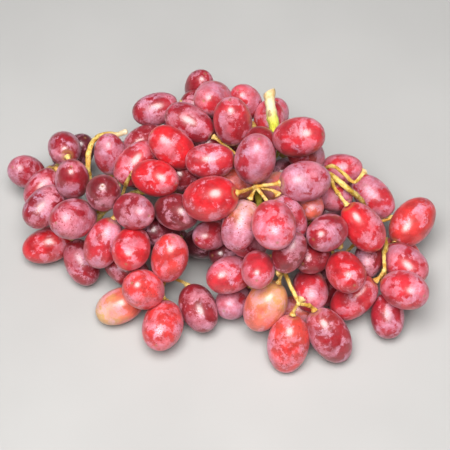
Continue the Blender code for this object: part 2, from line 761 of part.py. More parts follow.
def stem_makers(berries, starts, growth):
    """What makes each tube of the stem, grown by a clearance on its sides and ends.

    A stalklet that is short or turns sharply is two tubes, because one would fold into itself there.
    """
    makers = []

    def add(name, line, radii, sides):
        line = np.array(line)
        line[0] -= growth * unit(line[1] - line[0])
        line[-1] += growth * unit(line[-1] - line[-2])
        radii = np.array(radii) + growth / math.cos(math.pi / sides)
        makers.append(lambda collection: tube(name, line, radii, sides, collection))

    for name in STEM_RUNS:
        line, radii = stem_run(name, STEM_STEP)
        add("run_" + name, line, radii, STEM_SIDES)
    for berry, start in enumerate(starts):
        root, neck, seat = stalklet_line(berries, berry, start)
        arm = unit(neck - root)
        long_arm = math.dist(root, neck) > 2 * SEAT_RADIUS
        if long_arm and arm @ berries.axis[berry] > STRAIGHT_ENOUGH:
            radii = (STALKLET_ROOT, STALKLET_RADIUS, SEAT_RADIUS)
            add("stalklet", (root, neck, seat), radii, STALKLET_SIDES)
        else:
            past_neck = neck + 0.6 * STALKLET_RADIUS * arm
            add("stalklet", (root, past_neck), (STALKLET_ROOT, STALKLET_RADIUS), STALKLET_SIDES)
            add("seat", (neck, seat), (1.15 * STALKLET_RADIUS, SEAT_RADIUS), STALKLET_SIDES)
    return makers


def table_block(collection):
    """A block under the table's top, which cuts the lowest berries flat."""
    builder = bmesh.new()
    matrix = Matrix.Translation((0, 0, -0.05)) @ Matrix.Diagonal((0.5, 0.5, 0.1, 1.0))
    bmesh.ops.create_cube(builder, size=1.0, matrix=matrix)
    return new_object("table_cutter", builder, collection)


def keep_largest_body(thing):
    """Drop the loose scraps that cutting left."""
    builder = bmesh.new()
    builder.from_mesh(thing.data)
    builder.verts.ensure_lookup_table()
    left = set(builder.verts)
    bodies = []
    while left:
        body = {left.pop()}
        edge = list(body)
        while edge:
            vert = edge.pop()
            for link in vert.link_edges:
                other = link.other_vert(vert)
                if other not in body:
                    body.add(other)
                    edge.append(other)
        left -= body
        bodies.append(body)
    bodies.sort(key=len)
    for body in bodies[:-1]:
        bmesh.ops.delete(builder, geom=list(body), context="VERTS")
    builder.to_mesh(thing.data)
    builder.free()


def weld(thing, distance):
    """Join corners that all but coincide."""
    builder = bmesh.new()
    builder.from_mesh(thing.data)
    bmesh.ops.remove_doubles(builder, verts=builder.verts, dist=distance)
    builder.to_mesh(thing.data)
    builder.free()


def plain_material(name, colour, roughness):
    material = bpy.data.materials.new(name)
    material.use_nodes = True
    shader = material.node_tree.nodes["Principled BSDF"]
    shader.inputs["Base Color"].default_value = colour
    shader.inputs["Roughness"].default_value = roughness
    shader.inputs["Metallic"].default_value = 0.0
    return material


def build_stem(berries, starts):
    """The stem: the cut stalk, its side branches and every berry's stalklet, grown as one."""
    stem = fuse("stem", stem_makers(berries, starts, 0.0))
    weld(stem, WELD)
    keep_largest_body(stem)
    stem.data.materials.clear()
    stem.data.materials.append(plain_material("stem", STEM_GREEN, 0.55))


def build_cutters(berries, starts):
    """What the berries are cut clear of: the stem grown by the gap between nodes, and the table."""
    cutters = working_collection("cutters")
    grown = fuse("stem_cutter", stem_makers(berries, starts, NODE_GAP))
    bpy.context.scene.collection.objects.unlink(grown)
    cutters.objects.link(grown)
    table_block(cutters)
    for cutter in cutters.objects:
        cutter.hide_render = True
        cutter.display_type = "WIRE"
    return cutters


def build_branch_berries(name, members, berries, cutters, material):
    """The berries of one side branch, pressed together, cut clear of the stem and flat where they rest."""
    makers = []
    for berry in members:
        shape = (berries.middle[berry], berries.axis[berry], berries.radius[berry], berries.half[berry])
        makers.append(lambda collection, shape=shape: berry_body("berry", *shape, collection))
    thing = fuse(name, makers)
    apply_boolean(thing, "DIFFERENCE", cutters)
    keep_largest_body(thing)
    thing.data.materials.clear()
    thing.data.materials.append(material)


def main():
    for thing in list(bpy.data.objects):
        bpy.data.objects.remove(thing)
    berries, branch, starts = lay_out_bunch()
    shift = middle_shift(berries)
    build_stem(berries, starts)
    cutters = build_cutters(berries, starts)
    red = plain_material("berry_red", BERRY_RED, 0.35)
    dark = plain_material("berry_dark", BERRY_DARK, 0.4)
    for number, name in enumerate(SEEN_BERRIES):
        members = np.nonzero(branch == number)[0]
        material = dark if name.startswith("left") else red
        build_branch_berries("berries_" + name, members, berries, cutters, material)
    remove_collection(cutters)
    for thing in bpy.data.objects:
        thing.data.transform(Matrix.Translation(Vector(shift)))


if __name__ == "__main__":
    main()
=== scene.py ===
"""The look of a bunch of longish red grapes: fine berries with a rubbed bloom on a warty golden stem.

Units are metres, Z is up and the bunch rests on Z = 0. The berries and the stem lie where the part's
solids have them: the same readings of the picture and the same rules place them here.
"""
import heapq
import math
from types import SimpleNamespace

import bpy
import numpy as np
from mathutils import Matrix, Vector


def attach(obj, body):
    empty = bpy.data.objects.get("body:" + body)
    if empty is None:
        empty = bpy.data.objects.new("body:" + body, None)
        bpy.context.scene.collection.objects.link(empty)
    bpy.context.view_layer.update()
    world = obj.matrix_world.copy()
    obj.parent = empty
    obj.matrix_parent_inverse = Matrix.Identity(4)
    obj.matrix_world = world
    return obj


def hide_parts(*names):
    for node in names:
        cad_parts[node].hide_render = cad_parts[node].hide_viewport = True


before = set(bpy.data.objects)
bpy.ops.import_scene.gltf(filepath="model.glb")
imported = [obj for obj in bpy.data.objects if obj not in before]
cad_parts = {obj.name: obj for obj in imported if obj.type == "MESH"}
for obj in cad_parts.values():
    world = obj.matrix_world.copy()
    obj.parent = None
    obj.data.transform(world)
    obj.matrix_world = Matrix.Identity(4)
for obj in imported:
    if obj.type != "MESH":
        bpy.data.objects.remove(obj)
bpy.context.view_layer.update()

MM = 0.001

# Berries
BERRY_RADIUS = 8.0 * MM
BERRY_RATIO = 1.40
BERRY_RATIO_MOST = 1.50
TURNED_RATIO = 1.30
TURNED_LEAN = math.radians(20.0)
MOST_LEAN = math.radians(75)
BERRY_MIN_HEIGHT = 7.6 * MM

# Berries that don't show: where and how large they are tried, how far they keep from others, and
# the share of their outline that has to be covered, before and after easing
HIDDEN_TOP = 53.0 * MM
HIDDEN_BACK = 60.0 * MM
HIDDEN_SPACING = 18.5 * MM
HIDDEN_TRIES = 9000
HIDDEN_X = (15, 435)
HIDDEN_Y = (70, 370)
HIDDEN_RADII = (0.93, 1.05)
HIDDEN_RATIOS = (1.34, 1.46)
HIDDEN_WANDER = 4 * MM
HIDDEN_NEARER = 3 * MM
HIDDEN_COVER = (0.97, 0.9)
SIGHT_REACH = 9 * MM
WELL_BEHIND = 8 * MM
JUST_BEHIND = 2 * MM
SEED = 7

# How berries meet
PRESS = 0.8 * MM
CLEARANCE = 0.75 * MM
REST_DIP = 0.6 * MM
TURNED_SUPPLE = 0.01
SEEN_SUPPLE = 0.15
HIDDEN_SUPPLE = 0.8
FIRST_ROUNDS = 120
EASING_ROUNDS = 300
BALLS = 5
NEAR_GAP = 4 * MM
BESIDE_GAP = 1.2 * MM
GAP_COST = 15
OWN_SHARE = 0.5

# How readily a berry is pushed, pulled and turned in one round of easing
LEAST_PRESS = 0.1 * MM
LINK_PULL = 1.3
HIDDEN_WEIGHT = 3.0
FULL_SHARE = 1.6
STEM_PUSH = 0.6
ACROSS_SHARE = 0.5
OUTWARD_TURN = 0.04
HOME_ACROSS = 0.06
HOME_ALONG = 0.02
SINKING = 0.06 * MM

# Stem
NODE_GAP = 0.3 * MM
SEAT_RADIUS = 2.1 * MM
SEAT_GAP = 0.5 * MM
SEAT_DEPTH = 2.2 * MM
STALKLET_DETOUR = 12.0 * MM
RUN_END_PULL = 7.0 * MM
ROUTE_STEP = 3.0 * MM

# The picture: 450 by 450 pixels, taken from the front, looking down
PICTURE_MIDDLE = 225.0
PIXEL_SLOPE = 0.000725
LOOK_DOWN = math.radians(55.0)
VIEW_DISTANCE = 636.0 * MM
LOOK_AT = np.array([0.0, -13.0 * MM, 23.0 * MM])
LOOK = np.array([0.0, math.cos(LOOK_DOWN), -math.sin(LOOK_DOWN)])
RIGHT = np.array([1.0, 0.0, 0.0])
UP = np.array([0.0, math.sin(LOOK_DOWN), math.cos(LOOK_DOWN)])
EYE = LOOK_AT - VIEW_DISTANCE * LOOK

# Fine berries
BERRY_ROWS = 42
BERRY_COLUMNS = 56
ROW_CROWDING = 0.33
BLUNTNESS = 0.9
SKIN_WAVES = (0.16 * MM, 0.12 * MM, 0.07 * MM)
SKIN_TAPER = (-0.05, 0.06)
SKIN_FLAT = (-0.025, 0.025)
PATTERN_SPREAD = 90
PRESS_MARGIN = 1.012
PRESS_REACH = 0.6 * MM
LEAST_DEPTH = 0.3
FLOOR_GAP = 0.02 * MM
SKIN_SEED = 21
LOOK_SEED = 5

# Marks at a berry's ends, each a height, a distance off the axis and a width. The first three move
# the skin along the axis, and the last two say how strongly the colour of the scar and collar shows.
STEM_DIP = (0.55 * MM, 0.0, 2.3 * MM)
STEM_RIM = (-0.12 * MM, 3.6 * MM, 1.3 * MM)
SCAR_DIP = (-0.16 * MM, 0.0, 0.6 * MM)
SCAR_COLOUR = (1.0, 0.0, 0.55 * MM)
COLLAR_COLOUR = (1.0, 2.2 * MM, 0.8 * MM)

# Fine stem
FINE_ROUTE_STEP = 1.0 * MM
RUN_STEP = 0.8 * MM
RUN_COLUMNS = 18
STALKLET_STEP = 0.65 * MM
STALKLET_COLUMNS = 12
FINE_STALKLET = 0.78 * MM
SEAT_SINK = 0.35 * MM
STEM_SEED = 3
ANY_WAY = (0.31, 0.22, 0.93)
STEM_WAVES = ((0.06, 11.0 * MM), (0.07, 6.5 * MM), (0.06, 3.7 * MM), (0.05, 2.3 * MM))
SUNK_END = 0.7 * MM
STEM_MARGIN = 1.05
SEAT_REACH = 3.0 * MM
SEAT_BLEND = 1.0 * MM
STALKLET_BEND = 0.6
STALKLET_POINTS = 40
CUT_SLANT = 0.45
CUT_REACH = 4 * MM
SCAR_DEPTH = 0.25 * MM
SCAR_SHADE = 1.5
SCAR_AT = 11.0 * MM
SCAR_SIZE = 1.4 * MM
SCAR_SIDE = (-0.42, -0.52, 0.74)

# Warts: how many to a millimetre of length, sizes in millimetres, and height
STEM_WARTS = 0.28
STALKLET_WARTS = 0.5
WART_SIZES = (0.3, 0.6)
WART_HEIGHT = 0.32 * MM
WART_MOST = 1.2

# Marks at the cut end of the stalk and the far ends of the bare runs, each a height, a distance from
# that end and a width: swellings of the radius, then tan wood, then pale cut wood, which on the stalk
# also holds a pale band 8 mm from the cut that is a painted highlight. Last comes how far the start
# and the end are rounded. The other runs are plain.
RUN_ENDS = {
    "stalk": (
        ((0.45 * MM, 0, 4 * MM), (-0.1 * MM, 7 * MM, 3 * MM), (0.4 * MM, 14 * MM, 5 * MM)),
        ((0.9, 0, 6 * MM),),
        # Pale cut wood at the cut, then a pale band of painted highlight 8 mm down the stalk
        ((1.0, 0, 0.8 * MM), (0.75, 8 * MM, 3.5 * MM)),
        (0.5 * MM, 1.0 * MM),
    ),
    "left_shoot": (
        ((0.25 * MM, 0, 2.5 * MM),),
        ((0.3, 0, 9 * MM),),
        ((0.8, 0, 7 * MM),),
        (1.0 * MM, 0.3 * MM),
    ),
    "right_twig": (
        ((1.3 * MM, 0, 1.5 * MM),),
        ((0.7, 0, 2.0 * MM),),
        ((0.6, 0, 0.5 * MM),),
        (1.0 * MM, 0.3 * MM),
    ),
}
RUN_ENDS["fork_stub"] = RUN_ENDS["right_twig"]
PLAIN_ENDS = ((), (), (), (1.0 * MM, 1.0 * MM))
RUN_WIDENING = {"left_shoot": 0.2 * MM}

# How green the runs are: millimetres from the start, and the green there
RUN_GREEN = {
    "stalk": ((0, 7, 12, 18), (0.0, 0.15, 0.8, 1.0)),
    "spine": ((0, 30, 60), (0.9, 0.6, 0.3)),
    "right": ((0,), (0.25,)),
    "left": ((0,), (0.3,)),
    "front": ((0,), (0.3,)),
}
PLAIN_GREEN = ((0,), (0.2,))

# Marks along a stalklet, as height, distance and width: swellings at the stem and at the berry,
# more green at the stem, and tan wood at the berry
STALKLET_ROOT = (0.4 * MM, 0, 2.0 * MM)
STALKLET_SEAT = (1.1 * MM, 0, 1.6 * MM)
STALKLET_ROUNDING = (0.6 * MM, 0.7 * MM)
STALKLET_GREEN = 0.12
ROOT_GREEN = (0.1, 0, 3 * MM)
SEAT_TAN = (0.35, 0, 1.1 * MM)

# Looks of the berries: flesh colour as linear red, green and blue, how much bloom, and the berries
# that have it, counted in the order of SEEN_BERRIES. The berries that don't show take any look at
# random, mostly the dark wine and plum ones, as painted shade in the gaps between seen berries.
LOOKS = {
    "bright": ((0.54, 0.007, 0.012), 0.26, (8, 13, 26, 27, 43, 53, 59)),
    "rosy": (
        (0.50, 0.016, 0.026), 0.54,
        (10, 25, 29, 33, 34, 35, 37, 38, 39, 47, 51, 52, 55, 57, 60, 63, 68, 69, 77),
    ),
    "crimson": ((0.31, 0.005, 0.014), 0.52, (0, 1, 4, 5, 6, 7, 9, 12, 15, 22, 23, 32, 40, 50, 58, 67, 76)),
    "wine": ((0.22, 0.005, 0.010), 0.34, (3, 11, 14, 21, 24, 28, 31, 36, 61, 62, 65, 78)),
    "plum": ((0.10, 0.004, 0.010), 0.40, (2, 16, 30, 41, 49, 71, 72, 73)),
    "coral": ((0.62, 0.030, 0.026), 0.46, (17, 18, 20, 54, 56, 75)),
    "peach": ((0.64, 0.115, 0.070), 0.46, (19, 45, 46, 48, 74, 79)),
    "lilac": ((0.34, 0.010, 0.020), 0.78, (42, 44, 64, 66, 70)),
}
FLESH_SPREAD = (0.86, 1.14)
BLOOM_SPREAD = (-0.07, 0.07)
FAINT_SPECKLE = 0.25
# The hidden berries mostly draw the dark wine and plum looks: painted shade in the gaps
HIDDEN_SHARES_FOR_SHADE = (0.04, 0.04, 0.2, 0.32, 0.34, 0.02, 0.02, 0.02)

# How unripe one end of a berry is, which berries have speckles, and which are green at the outer end
UNRIPE = {19: 0.8, 45: 0.5, 46: 0.7, 48: 1.0, 66: 0.45, 74: 0.65, 75: 0.05, 76: 0.03}
SPECKLED = (5, 7, 9, 17, 18, 20, 21, 22, 32, 64, 66, 69, 75)
GREEN_OUTSIDE = (19,)

# Colours, as linear red, green and blue
UNRIPE_FLESH = (0.60, 0.42, 0.13, 1.0)
DOT_COLOUR = (0.75, 0.35, 0.25, 1.0)
PIT_RED = (0.28, 0.006, 0.012, 1.0)
BLOOM_PINK = (0.80, 0.36, 0.48, 1.0)
BLOOM_LILAC = (0.70, 0.42, 0.60, 1.0)
SCAR_BROWN = (0.30, 0.16, 0.06, 1.0)
COLLAR_TAN = (0.50, 0.30, 0.10, 1.0)
# Gold and pale straw of the stem: partly its own tone, partly painted shade and painted highlight, the straw
# on the raised parts and the gold in the low parts
STEM_GOLD_AND_SHADE = (0.62, 0.27, 0.035, 1.0)
STEM_STRAW_AND_HIGHLIGHT = (0.92, 0.66, 0.24, 1.0)
STEM_LIME = (0.70, 0.74, 0.07, 1.0)
STEM_MOSS = (0.52, 0.60, 0.05, 1.0)
STEM_RUST = (0.30, 0.095, 0.014, 1.0)
STEM_TAN = (0.60, 0.42, 0.20, 1.0)
WART_BROWN = (0.22, 0.10, 0.03, 1.0)
# Pale cut wood; also the colour of a painted highlight band on the stalk
CUT_PALE_AND_HIGHLIGHT = (0.88, 0.80, 0.62, 1.0)
FLOOR_PALE = (0.40, 0.40, 0.40, 1.0)
FLOOR_PALER = (0.43, 0.43, 0.43, 1.0)

# Floor, light and camera; a camera's sensor and lens are in millimetres
SENSOR_WIDTH = 36.0
FLOOR_SIDE = 8.0
LAMPS = (
    ("overhead", (-0.06, -0.38, 1.0), 0.7, 21.0, (1.0, 0.98, 0.95)),
    ("from_the_left", (-0.9, -0.3, 0.8), 0.6, 0.6, (1.0, 1.0, 1.0)),
    ("from_the_right", (0.9, -0.2, 0.8), 0.8, 0.6, (1.0, 0.97, 0.94)),
)
LAMP_TARGET = (0.0, 0.0, 0.02)
SKY_COLOUR = (0.92, 0.95, 1.0, 1.0)
SKY_STRENGTH = 0.07

# The berries of each side branch that show: x and y of the middle, width and length in pixels,
# angle of the long side in degrees and height of the middle over the table in millimetres
SEEN_BERRIES = {
    "left_tip": (
        (31.6, 173.4, 33, 40, -20, 21), (64.3, 148.2, 33, 35.5, 121, 35), (78, 152, 31, 36, 60, 25),
        (54, 179, 32, 38, 45, 17), (42.5, 188.3, 30, 46, 52, 25), (73.2, 178.3, 36, 39, 100, 45),
        (45.1, 207.3, 36, 47, 50, 34),
    ),
    "left_front": (
        (75.2, 219.9, 40, 45, 25, 36), (47.4, 245.2, 35.5, 51.5, 22, 10),
        (81.8, 262.4, 33.5, 49, 110, 12), (101, 240.9, 37, 53, 65, 32),
    ),
    "left_inner": (
        (103.3, 192.4, 35.5, 36.5, 80, 49), (135.5, 211, 36, 42.5, -12, 49),
        (132, 247.5, 37.5, 43.5, 75, 34), (126.3, 269.6, 34, 48, -35, 15),
    ),
    "left_back": (
        (106.8, 153.9, 32, 41, 95, 42), (126, 159, 32, 38, 90, 28),
    ),
    "front_left": (
        (167.9, 256.7, 38, 47.5, 82, 28), (143.5, 288.8, 39.5, 42, -30, 23),
        (120.5, 304.9, 35, 51, 28, 10), (161.6, 327, 41, 46, 80, 11), (200, 307.8, 37, 49.5, 118, 10),
    ),
    "top_left": (
        (155.9, 109.4, 32.5, 47.5, 8, 45), (189.4, 123.2, 35, 53, -33, 53), (147, 143, 33, 44, 30, 40),
        (134.9, 163.4, 34.5, 51.5, 48, 42), (172.2, 147, 38, 51, -35, 59),
    ),
    "centre_left": (
        (154.4, 180, 37, 48, -12, 57), (175.7, 211.6, 37.5, 46, -10, 49),
        (210.4, 160.8, 35.5, 50.5, 5, 64), (169.3, 163.4, 33, 40, 0, 40), (185, 176, 33, 40, 0, 36),
    ),
    "top": (
        (199.5, 86.7, 28, 33, 60, 42), (211.8, 99.4, 36.5, 38.5, 30, 56), (233, 121.8, 38.5, 48, 100, 64),
        (247.5, 107.5, 31, 36, -55, 49), (213.8, 141.8, 33, 42, 0, 45),
    ),
    "top_right": (
        (262, 122, 32, 46, 100, 45), (275.9, 114, 27, 31, 90, 38), (299.1, 137.5, 39.5, 49.5, 8, 61),
        (307, 156.5, 34, 40, -30, 47), (286, 168, 34, 42, 10, 40),
    ),
    "centre": (
        (255.5, 161.4, 41.5, 49, 78, 68), (210.4, 198.7, 45, 56, 12, 66), (305.7, 179.7, 40, 52, 5, 64),
        (238, 185, 33, 40, 0, 47), (274.1, 184.3, 30, 36, 0, 49),
    ),
    "right": (
        (330, 192, 34, 42, -20, 45), (309.4, 203.6, 29, 34, 90, 47), (333, 210.7, 32, 40, 0, 30),
        (325.8, 232.8, 36.5, 46, 15, 47),
    ),
    "right_back": (
        (338, 167.7, 30, 42, -10, 42), (373.1, 196.4, 34.5, 52, -48, 32), (362.5, 227.4, 38, 56, -52, 45),
    ),
    "right_tip": (
        (412.5, 222.2, 39, 56.5, 48, 25), (405.3, 263.8, 37, 49, -42, 21), (402.5, 253, 30, 40, -40, 10),
        (404.1, 289.7, 39, 47, -18, 28), (387.6, 315.6, 33, 46, 95, 10),
    ),
    "right_front": (
        (345.6, 271.9, 37.5, 42, 110, 38), (353.6, 299.1, 36, 54, 40, 18), (313.4, 254.4, 34, 38, 20, 32),
        (368, 258, 30, 40, 80, 23),
    ),
    "middle": (
        (273.5, 225, 44, 50, 95, 64), (290.5, 218.8, 34, 49, -55, 53), (287.6, 253, 32, 44, 60, 40),
        (241.1, 225.7, 35.5, 53, 70, 49), (211.8, 235.1, 31, 38, 20, 38),
    ),
    "front": (
        (262.6, 268.1, 34.5, 38, 70, 42), (230.5, 274.7, 36.5, 49, 15, 30),
        (234.8, 301.1, 34, 37, 60, 10), (202.4, 243.7, 32, 42, 0, 19), (226.8, 252.4, 30, 38, 0, 19),
        (159.3, 233.7, 33, 40, 0, 23),
    ),
    "tip": (
        (267, 308.5, 41, 54, 62, 21), (285, 341.3, 41.5, 59, 84, 11), (330.7, 337, 40, 60, 121, 15.5),
        (309.1, 289.2, 34.5, 40, 70, 16), (325, 289, 31, 40, 70, 10), (302, 308, 32, 45, 15, 8),
    ),
}

# Which of them lean away from the viewer, so that their stem ends show
TURNED_BERRIES = {
    "left_tip": (1,),
    "left_front": (3,),
    "centre": (1, 2),
    "right_back": (2,),
    "right_tip": (0,),
    "right_front": (1,),
    "tip": (0, 1, 2),
}

# The stem: radius at the start and end of each run in millimetres, then its points,
# as x and y in pixels and height over the table in millimetres
STEM_RUNS = {
    "stalk": (2.4, 2.0, ((269, 90, 68), (271, 110, 64), (275, 131, 57), (277, 150, 44))),
    "spine": (2.0, 1.3, (
        (277, 150, 44), (263, 170, 37), (258, 190, 34), (262, 212, 34), (271, 236, 34),
    )),
    "fork": (1.2, 0.8, ((271, 236, 34), (280, 256, 36), (284.5, 271, 34), (291, 287, 32), (299, 303, 31))),
    "fork_side": (0.8, 0.8, ((280.5, 260, 35.5), (280.5, 268, 37), (281, 273, 37))),
    "fork_right": (0.8, 0.8, ((299, 303, 31), (308.5, 305.5, 28.5))),
    "fork_stub": (0.8, 0.9, ((299, 303, 31), (303, 297, 33))),
    "centre": (1.4, 1.1, ((263, 170, 37), (258, 179, 48), (256, 187, 62))),
    "left": (1.9, 1.2, (
        (258, 190, 34), (235, 192, 32), (205, 190, 28), (170, 190, 28),
        (140, 192, 28), (115, 200, 30), (92, 190, 28), (70, 176, 28), (54, 169, 24),
    )),
    "left_shoot": (1.1, 0.95, (
        (92, 190, 28), (89, 176, 36), (88, 165, 42), (89.5, 149, 45),
        (96, 138.5, 44), (106, 134, 42), (117, 134.5, 43), (127.5, 131, 46),
    )),
    "right": (1.6, 0.9, (
        (277, 150, 44), (291, 160, 30), (306, 168, 30), (320, 172, 42), (332, 176, 54), (347, 188, 54),
        (362, 201, 42), (366, 216, 26), (376, 234, 24), (386, 242, 28), (384, 252, 30),
    )),
    "right_twig": (0.85, 0.8, (
        (320, 172, 42), (328, 167, 51), (334, 166.5, 54), (343, 173, 56),
        (353, 182, 56), (358, 180, 56), (363, 173, 57), (366.5, 170, 58),
    )),
    "right_inner": (0.9, 0.8, ((332, 176, 54), (333, 185, 54), (337, 192, 54.5))),
    "right_tip": (0.9, 0.8, ((384, 252, 30), (384.5, 270, 30))),
    "top": (1.4, 1.1, (
        (263, 170, 37), (258, 150, 46), (256, 138, 51), (253, 125, 50), (244, 121, 36), (226, 116, 34),
    )),
    "top_left": (1.4, 1.1, ((235, 192, 32), (215, 168, 28), (192, 150, 28), (166, 132, 34))),
    "front_left": (1.4, 1.1, (
        (170, 190, 28), (166, 215, 24), (160, 245, 18), (160, 275, 14), (163, 298, 16),
    )),
    "left_front": (1.3, 1.1, ((115, 200, 30), (100, 216, 24), (84, 234, 18))),
    "right_front": (1.3, 1.1, ((271, 236, 34), (300, 240, 28), (325, 246, 32), (341, 247, 40))),
    "front": (1.3, 1.1, ((271, 236, 34), (256, 262, 26), (250, 285, 20))),
    "back_left": (1.4, 1.1, ((215, 168, 28), (208, 142, 22), (205, 122, 16))),
    "back_right": (1.4, 1.1, ((291, 160, 30), (286, 140, 24), (275, 125, 18))),
}

# The runs that bear no berries
BARE_RUNS = ("stalk", "left_shoot", "right_twig", "fork_stub")


# Reading the picture


def sight_lines(x, y):
    """Direction of the line of sight through pixel x, y, one unit long along the middle line."""
    across = (np.asarray(x, float) - PICTURE_MIDDLE) * PIXEL_SLOPE
    upward = (PICTURE_MIDDLE - np.asarray(y, float)) * PIXEL_SLOPE
    return LOOK + across[..., None] * RIGHT + upward[..., None] * UP


def place(x, y, height):
    """The point that shows at pixel x, y and stands at this height."""
    line = sight_lines(x, y)
    reach = (np.asarray(height) - EYE[2]) / line[..., 2]
    return EYE + line * reach[..., None]


def pixel_of(points):
    """Pixel x and y where points show, and their depth."""
    offset = points - EYE
    depth = offset @ LOOK
    x = PICTURE_MIDDLE + offset @ RIGHT / depth / PIXEL_SLOPE
    y = PICTURE_MIDDLE - offset @ UP / depth / PIXEL_SLOPE
    return x, y, depth


def unit(vectors):
    return vectors / np.linalg.norm(vectors, axis=-1, keepdims=True)


def nearest_of(points, places):
    """The place nearest each point."""
    return places[np.linalg.norm(points[:, None] - places, axis=2).argmin(1)]


def with_marks(values, distance, *marks):
    """The values plus bell curves of a distance.

    A mark's curve is height * exp(-((distance - place) / width) ** 2).
    """
    for height, middle, width in marks:
        values = values + height * np.exp(-(((distance - middle) / width) ** 2))
    return values


def distance_along(line):
    """How far along a line each of its points is."""
    return np.concatenate([[0], np.cumsum(np.linalg.norm(np.diff(line, axis=0), axis=1))])


def read_berry(stem_places, turned, x, y, width, length, angle, height):
    """Middle, axis, radius and half length of a berry from its ellipse in the picture.

    The ellipse is as wide as the berry. Where it is shorter than the berry, the berry leans towards
    the viewer, or away from the viewer if it is a turned one. Its stem end is the one nearer the stem.
    """
    middle = place(x, y, height * MM)
    depth = (middle - EYE) @ LOOK
    radius = width / 2 * PIXEL_SLOPE * depth
    shown = length / 2 * PIXEL_SLOPE * depth
    if turned:
        longest = math.sqrt(radius**2 + (shown**2 - radius**2) / math.cos(TURNED_LEAN) ** 2)
        half = max(longest, TURNED_RATIO * radius)
    else:
        half = min(max(shown, BERRY_RATIO * radius), BERRY_RATIO_MOST * radius)
    cosine = math.sqrt(max(shown**2 - radius**2, 0) / (half**2 - radius**2))
    lean = min(math.acos(min(cosine, 1.0)), MOST_LEAN)
    across = math.cos(math.radians(angle))
    upward = math.sin(math.radians(angle))
    sideways = math.cos(lean) * (across * RIGHT + upward * UP)
    inward = math.sin(lean) * (1 if turned else -1) * LOOK
    choices = [inward + sideways, inward - sideways]
    reach = [np.linalg.norm(middle - half * axis - stem_places, axis=1).min() for axis in choices]
    return middle, choices[int(np.argmin(reach))], radius, half


def seen_berries():
    """The berries that show, as arrays."""
    stem_places = bearing_places()
    rows = []
    supple = []
    for name, ellipses in SEEN_BERRIES.items():
        for number, ellipse in enumerate(ellipses):
            turned = number in TURNED_BERRIES.get(name, ())
            rows.append(read_berry(stem_places, turned, *ellipse))
            supple.append(TURNED_SUPPLE if turned else SEEN_SUPPLE)
    middle, axis, radius, half = (np.array(column) for column in zip(*rows))
    seen = np.ones(len(rows), bool)
    supple = np.array(supple)
    return SimpleNamespace(middle=middle, axis=axis, radius=radius, half=half, seen=seen, supple=supple)


# The stem's runs


def curve_through(points, step):
    """Points about a step apart on a smooth curve through the points given."""
    points = np.asarray(points, float)
    ends = np.vstack([2 * points[0] - points[1], points, 2 * points[-1] - points[-2]])
    line = []
    for a, b, c, d in zip(ends[:-3], ends[1:-2], ends[2:-1], ends[3:]):
        count = max(int(np.linalg.norm(c - b) / step + 0.5), 1)
        for t in np.arange(count) / count:
            bend = 2 * b + (c - a) * t + (2 * a - 5 * b + 4 * c - d) * t**2 + (3 * b - a - 3 * c + d) * t**3
            line.append(bend / 2)
    line.append(points[-1])
    return np.array(line)


def stem_run(name, step):
    """Middle line and radii of one run of the stem."""
    first, last, points = STEM_RUNS[name]
    x, y, height = np.array(points, float).T
    line = curve_through(place(x, y, height * MM), step)
    return line, np.linspace(first * MM, last * MM, len(line))


def stem_beads():
    """Points and radii along all the stem's runs, close enough together to find what is near."""
    runs = [stem_run(name, ROUTE_STEP) for name in STEM_RUNS]
    return np.concatenate([line for line, radii in runs]), np.concatenate([radii for line, radii in runs])


def bearing_lines():
    """The runs that bear berries, as points."""
    return [stem_run(name, ROUTE_STEP)[0] for name in STEM_RUNS if name not in BARE_RUNS]


def bearing_places():
    return np.concatenate(bearing_lines())


# Berries that don't show


def under_seen(x, y):
    """Whether pixels lie in the ellipse of a berry that shows."""
    inside = np.zeros(np.shape(x), bool)
    for ellipses in SEEN_BERRIES.values():
        for middle_x, middle_y, width, length, angle, height in ellipses:
            turn = math.radians(angle)
            right = x - middle_x
            up = middle_y - y
            along = (right * math.cos(turn) + up * math.sin(turn)) / (length / 2)
            across = (up * math.cos(turn) - right * math.sin(turn)) / (width / 2)
            inside |= along**2 + across**2 < 1
    return inside


def outline_pixels(middle, axis, radius, half):
    """Sixteen pixels round the outline of each berry."""
    x, y, depth = pixel_of(middle)
    shown = np.stack([axis @ RIGHT, -(axis @ UP)], 1)
    side_on = np.linalg.norm(shown, axis=1)
    shown = shown / side_on[:, None]
    long = np.sqrt((half * side_on) ** 2 + radius**2 * (1 - side_on**2)) / depth / PIXEL_SLOPE
    short = radius / depth / PIXEL_SLOPE
    turn = np.linspace(0, 2 * math.pi, 16, endpoint=False)
    along = long[:, None] * np.cos(turn)
    across = short[:, None] * np.sin(turn)
    outline_x = x[:, None] + along * shown[:, :1] - across * shown[:, 1:]
    outline_y = y[:, None] + along * shown[:, 1:] + across * shown[:, :1]
    return outline_x, outline_y


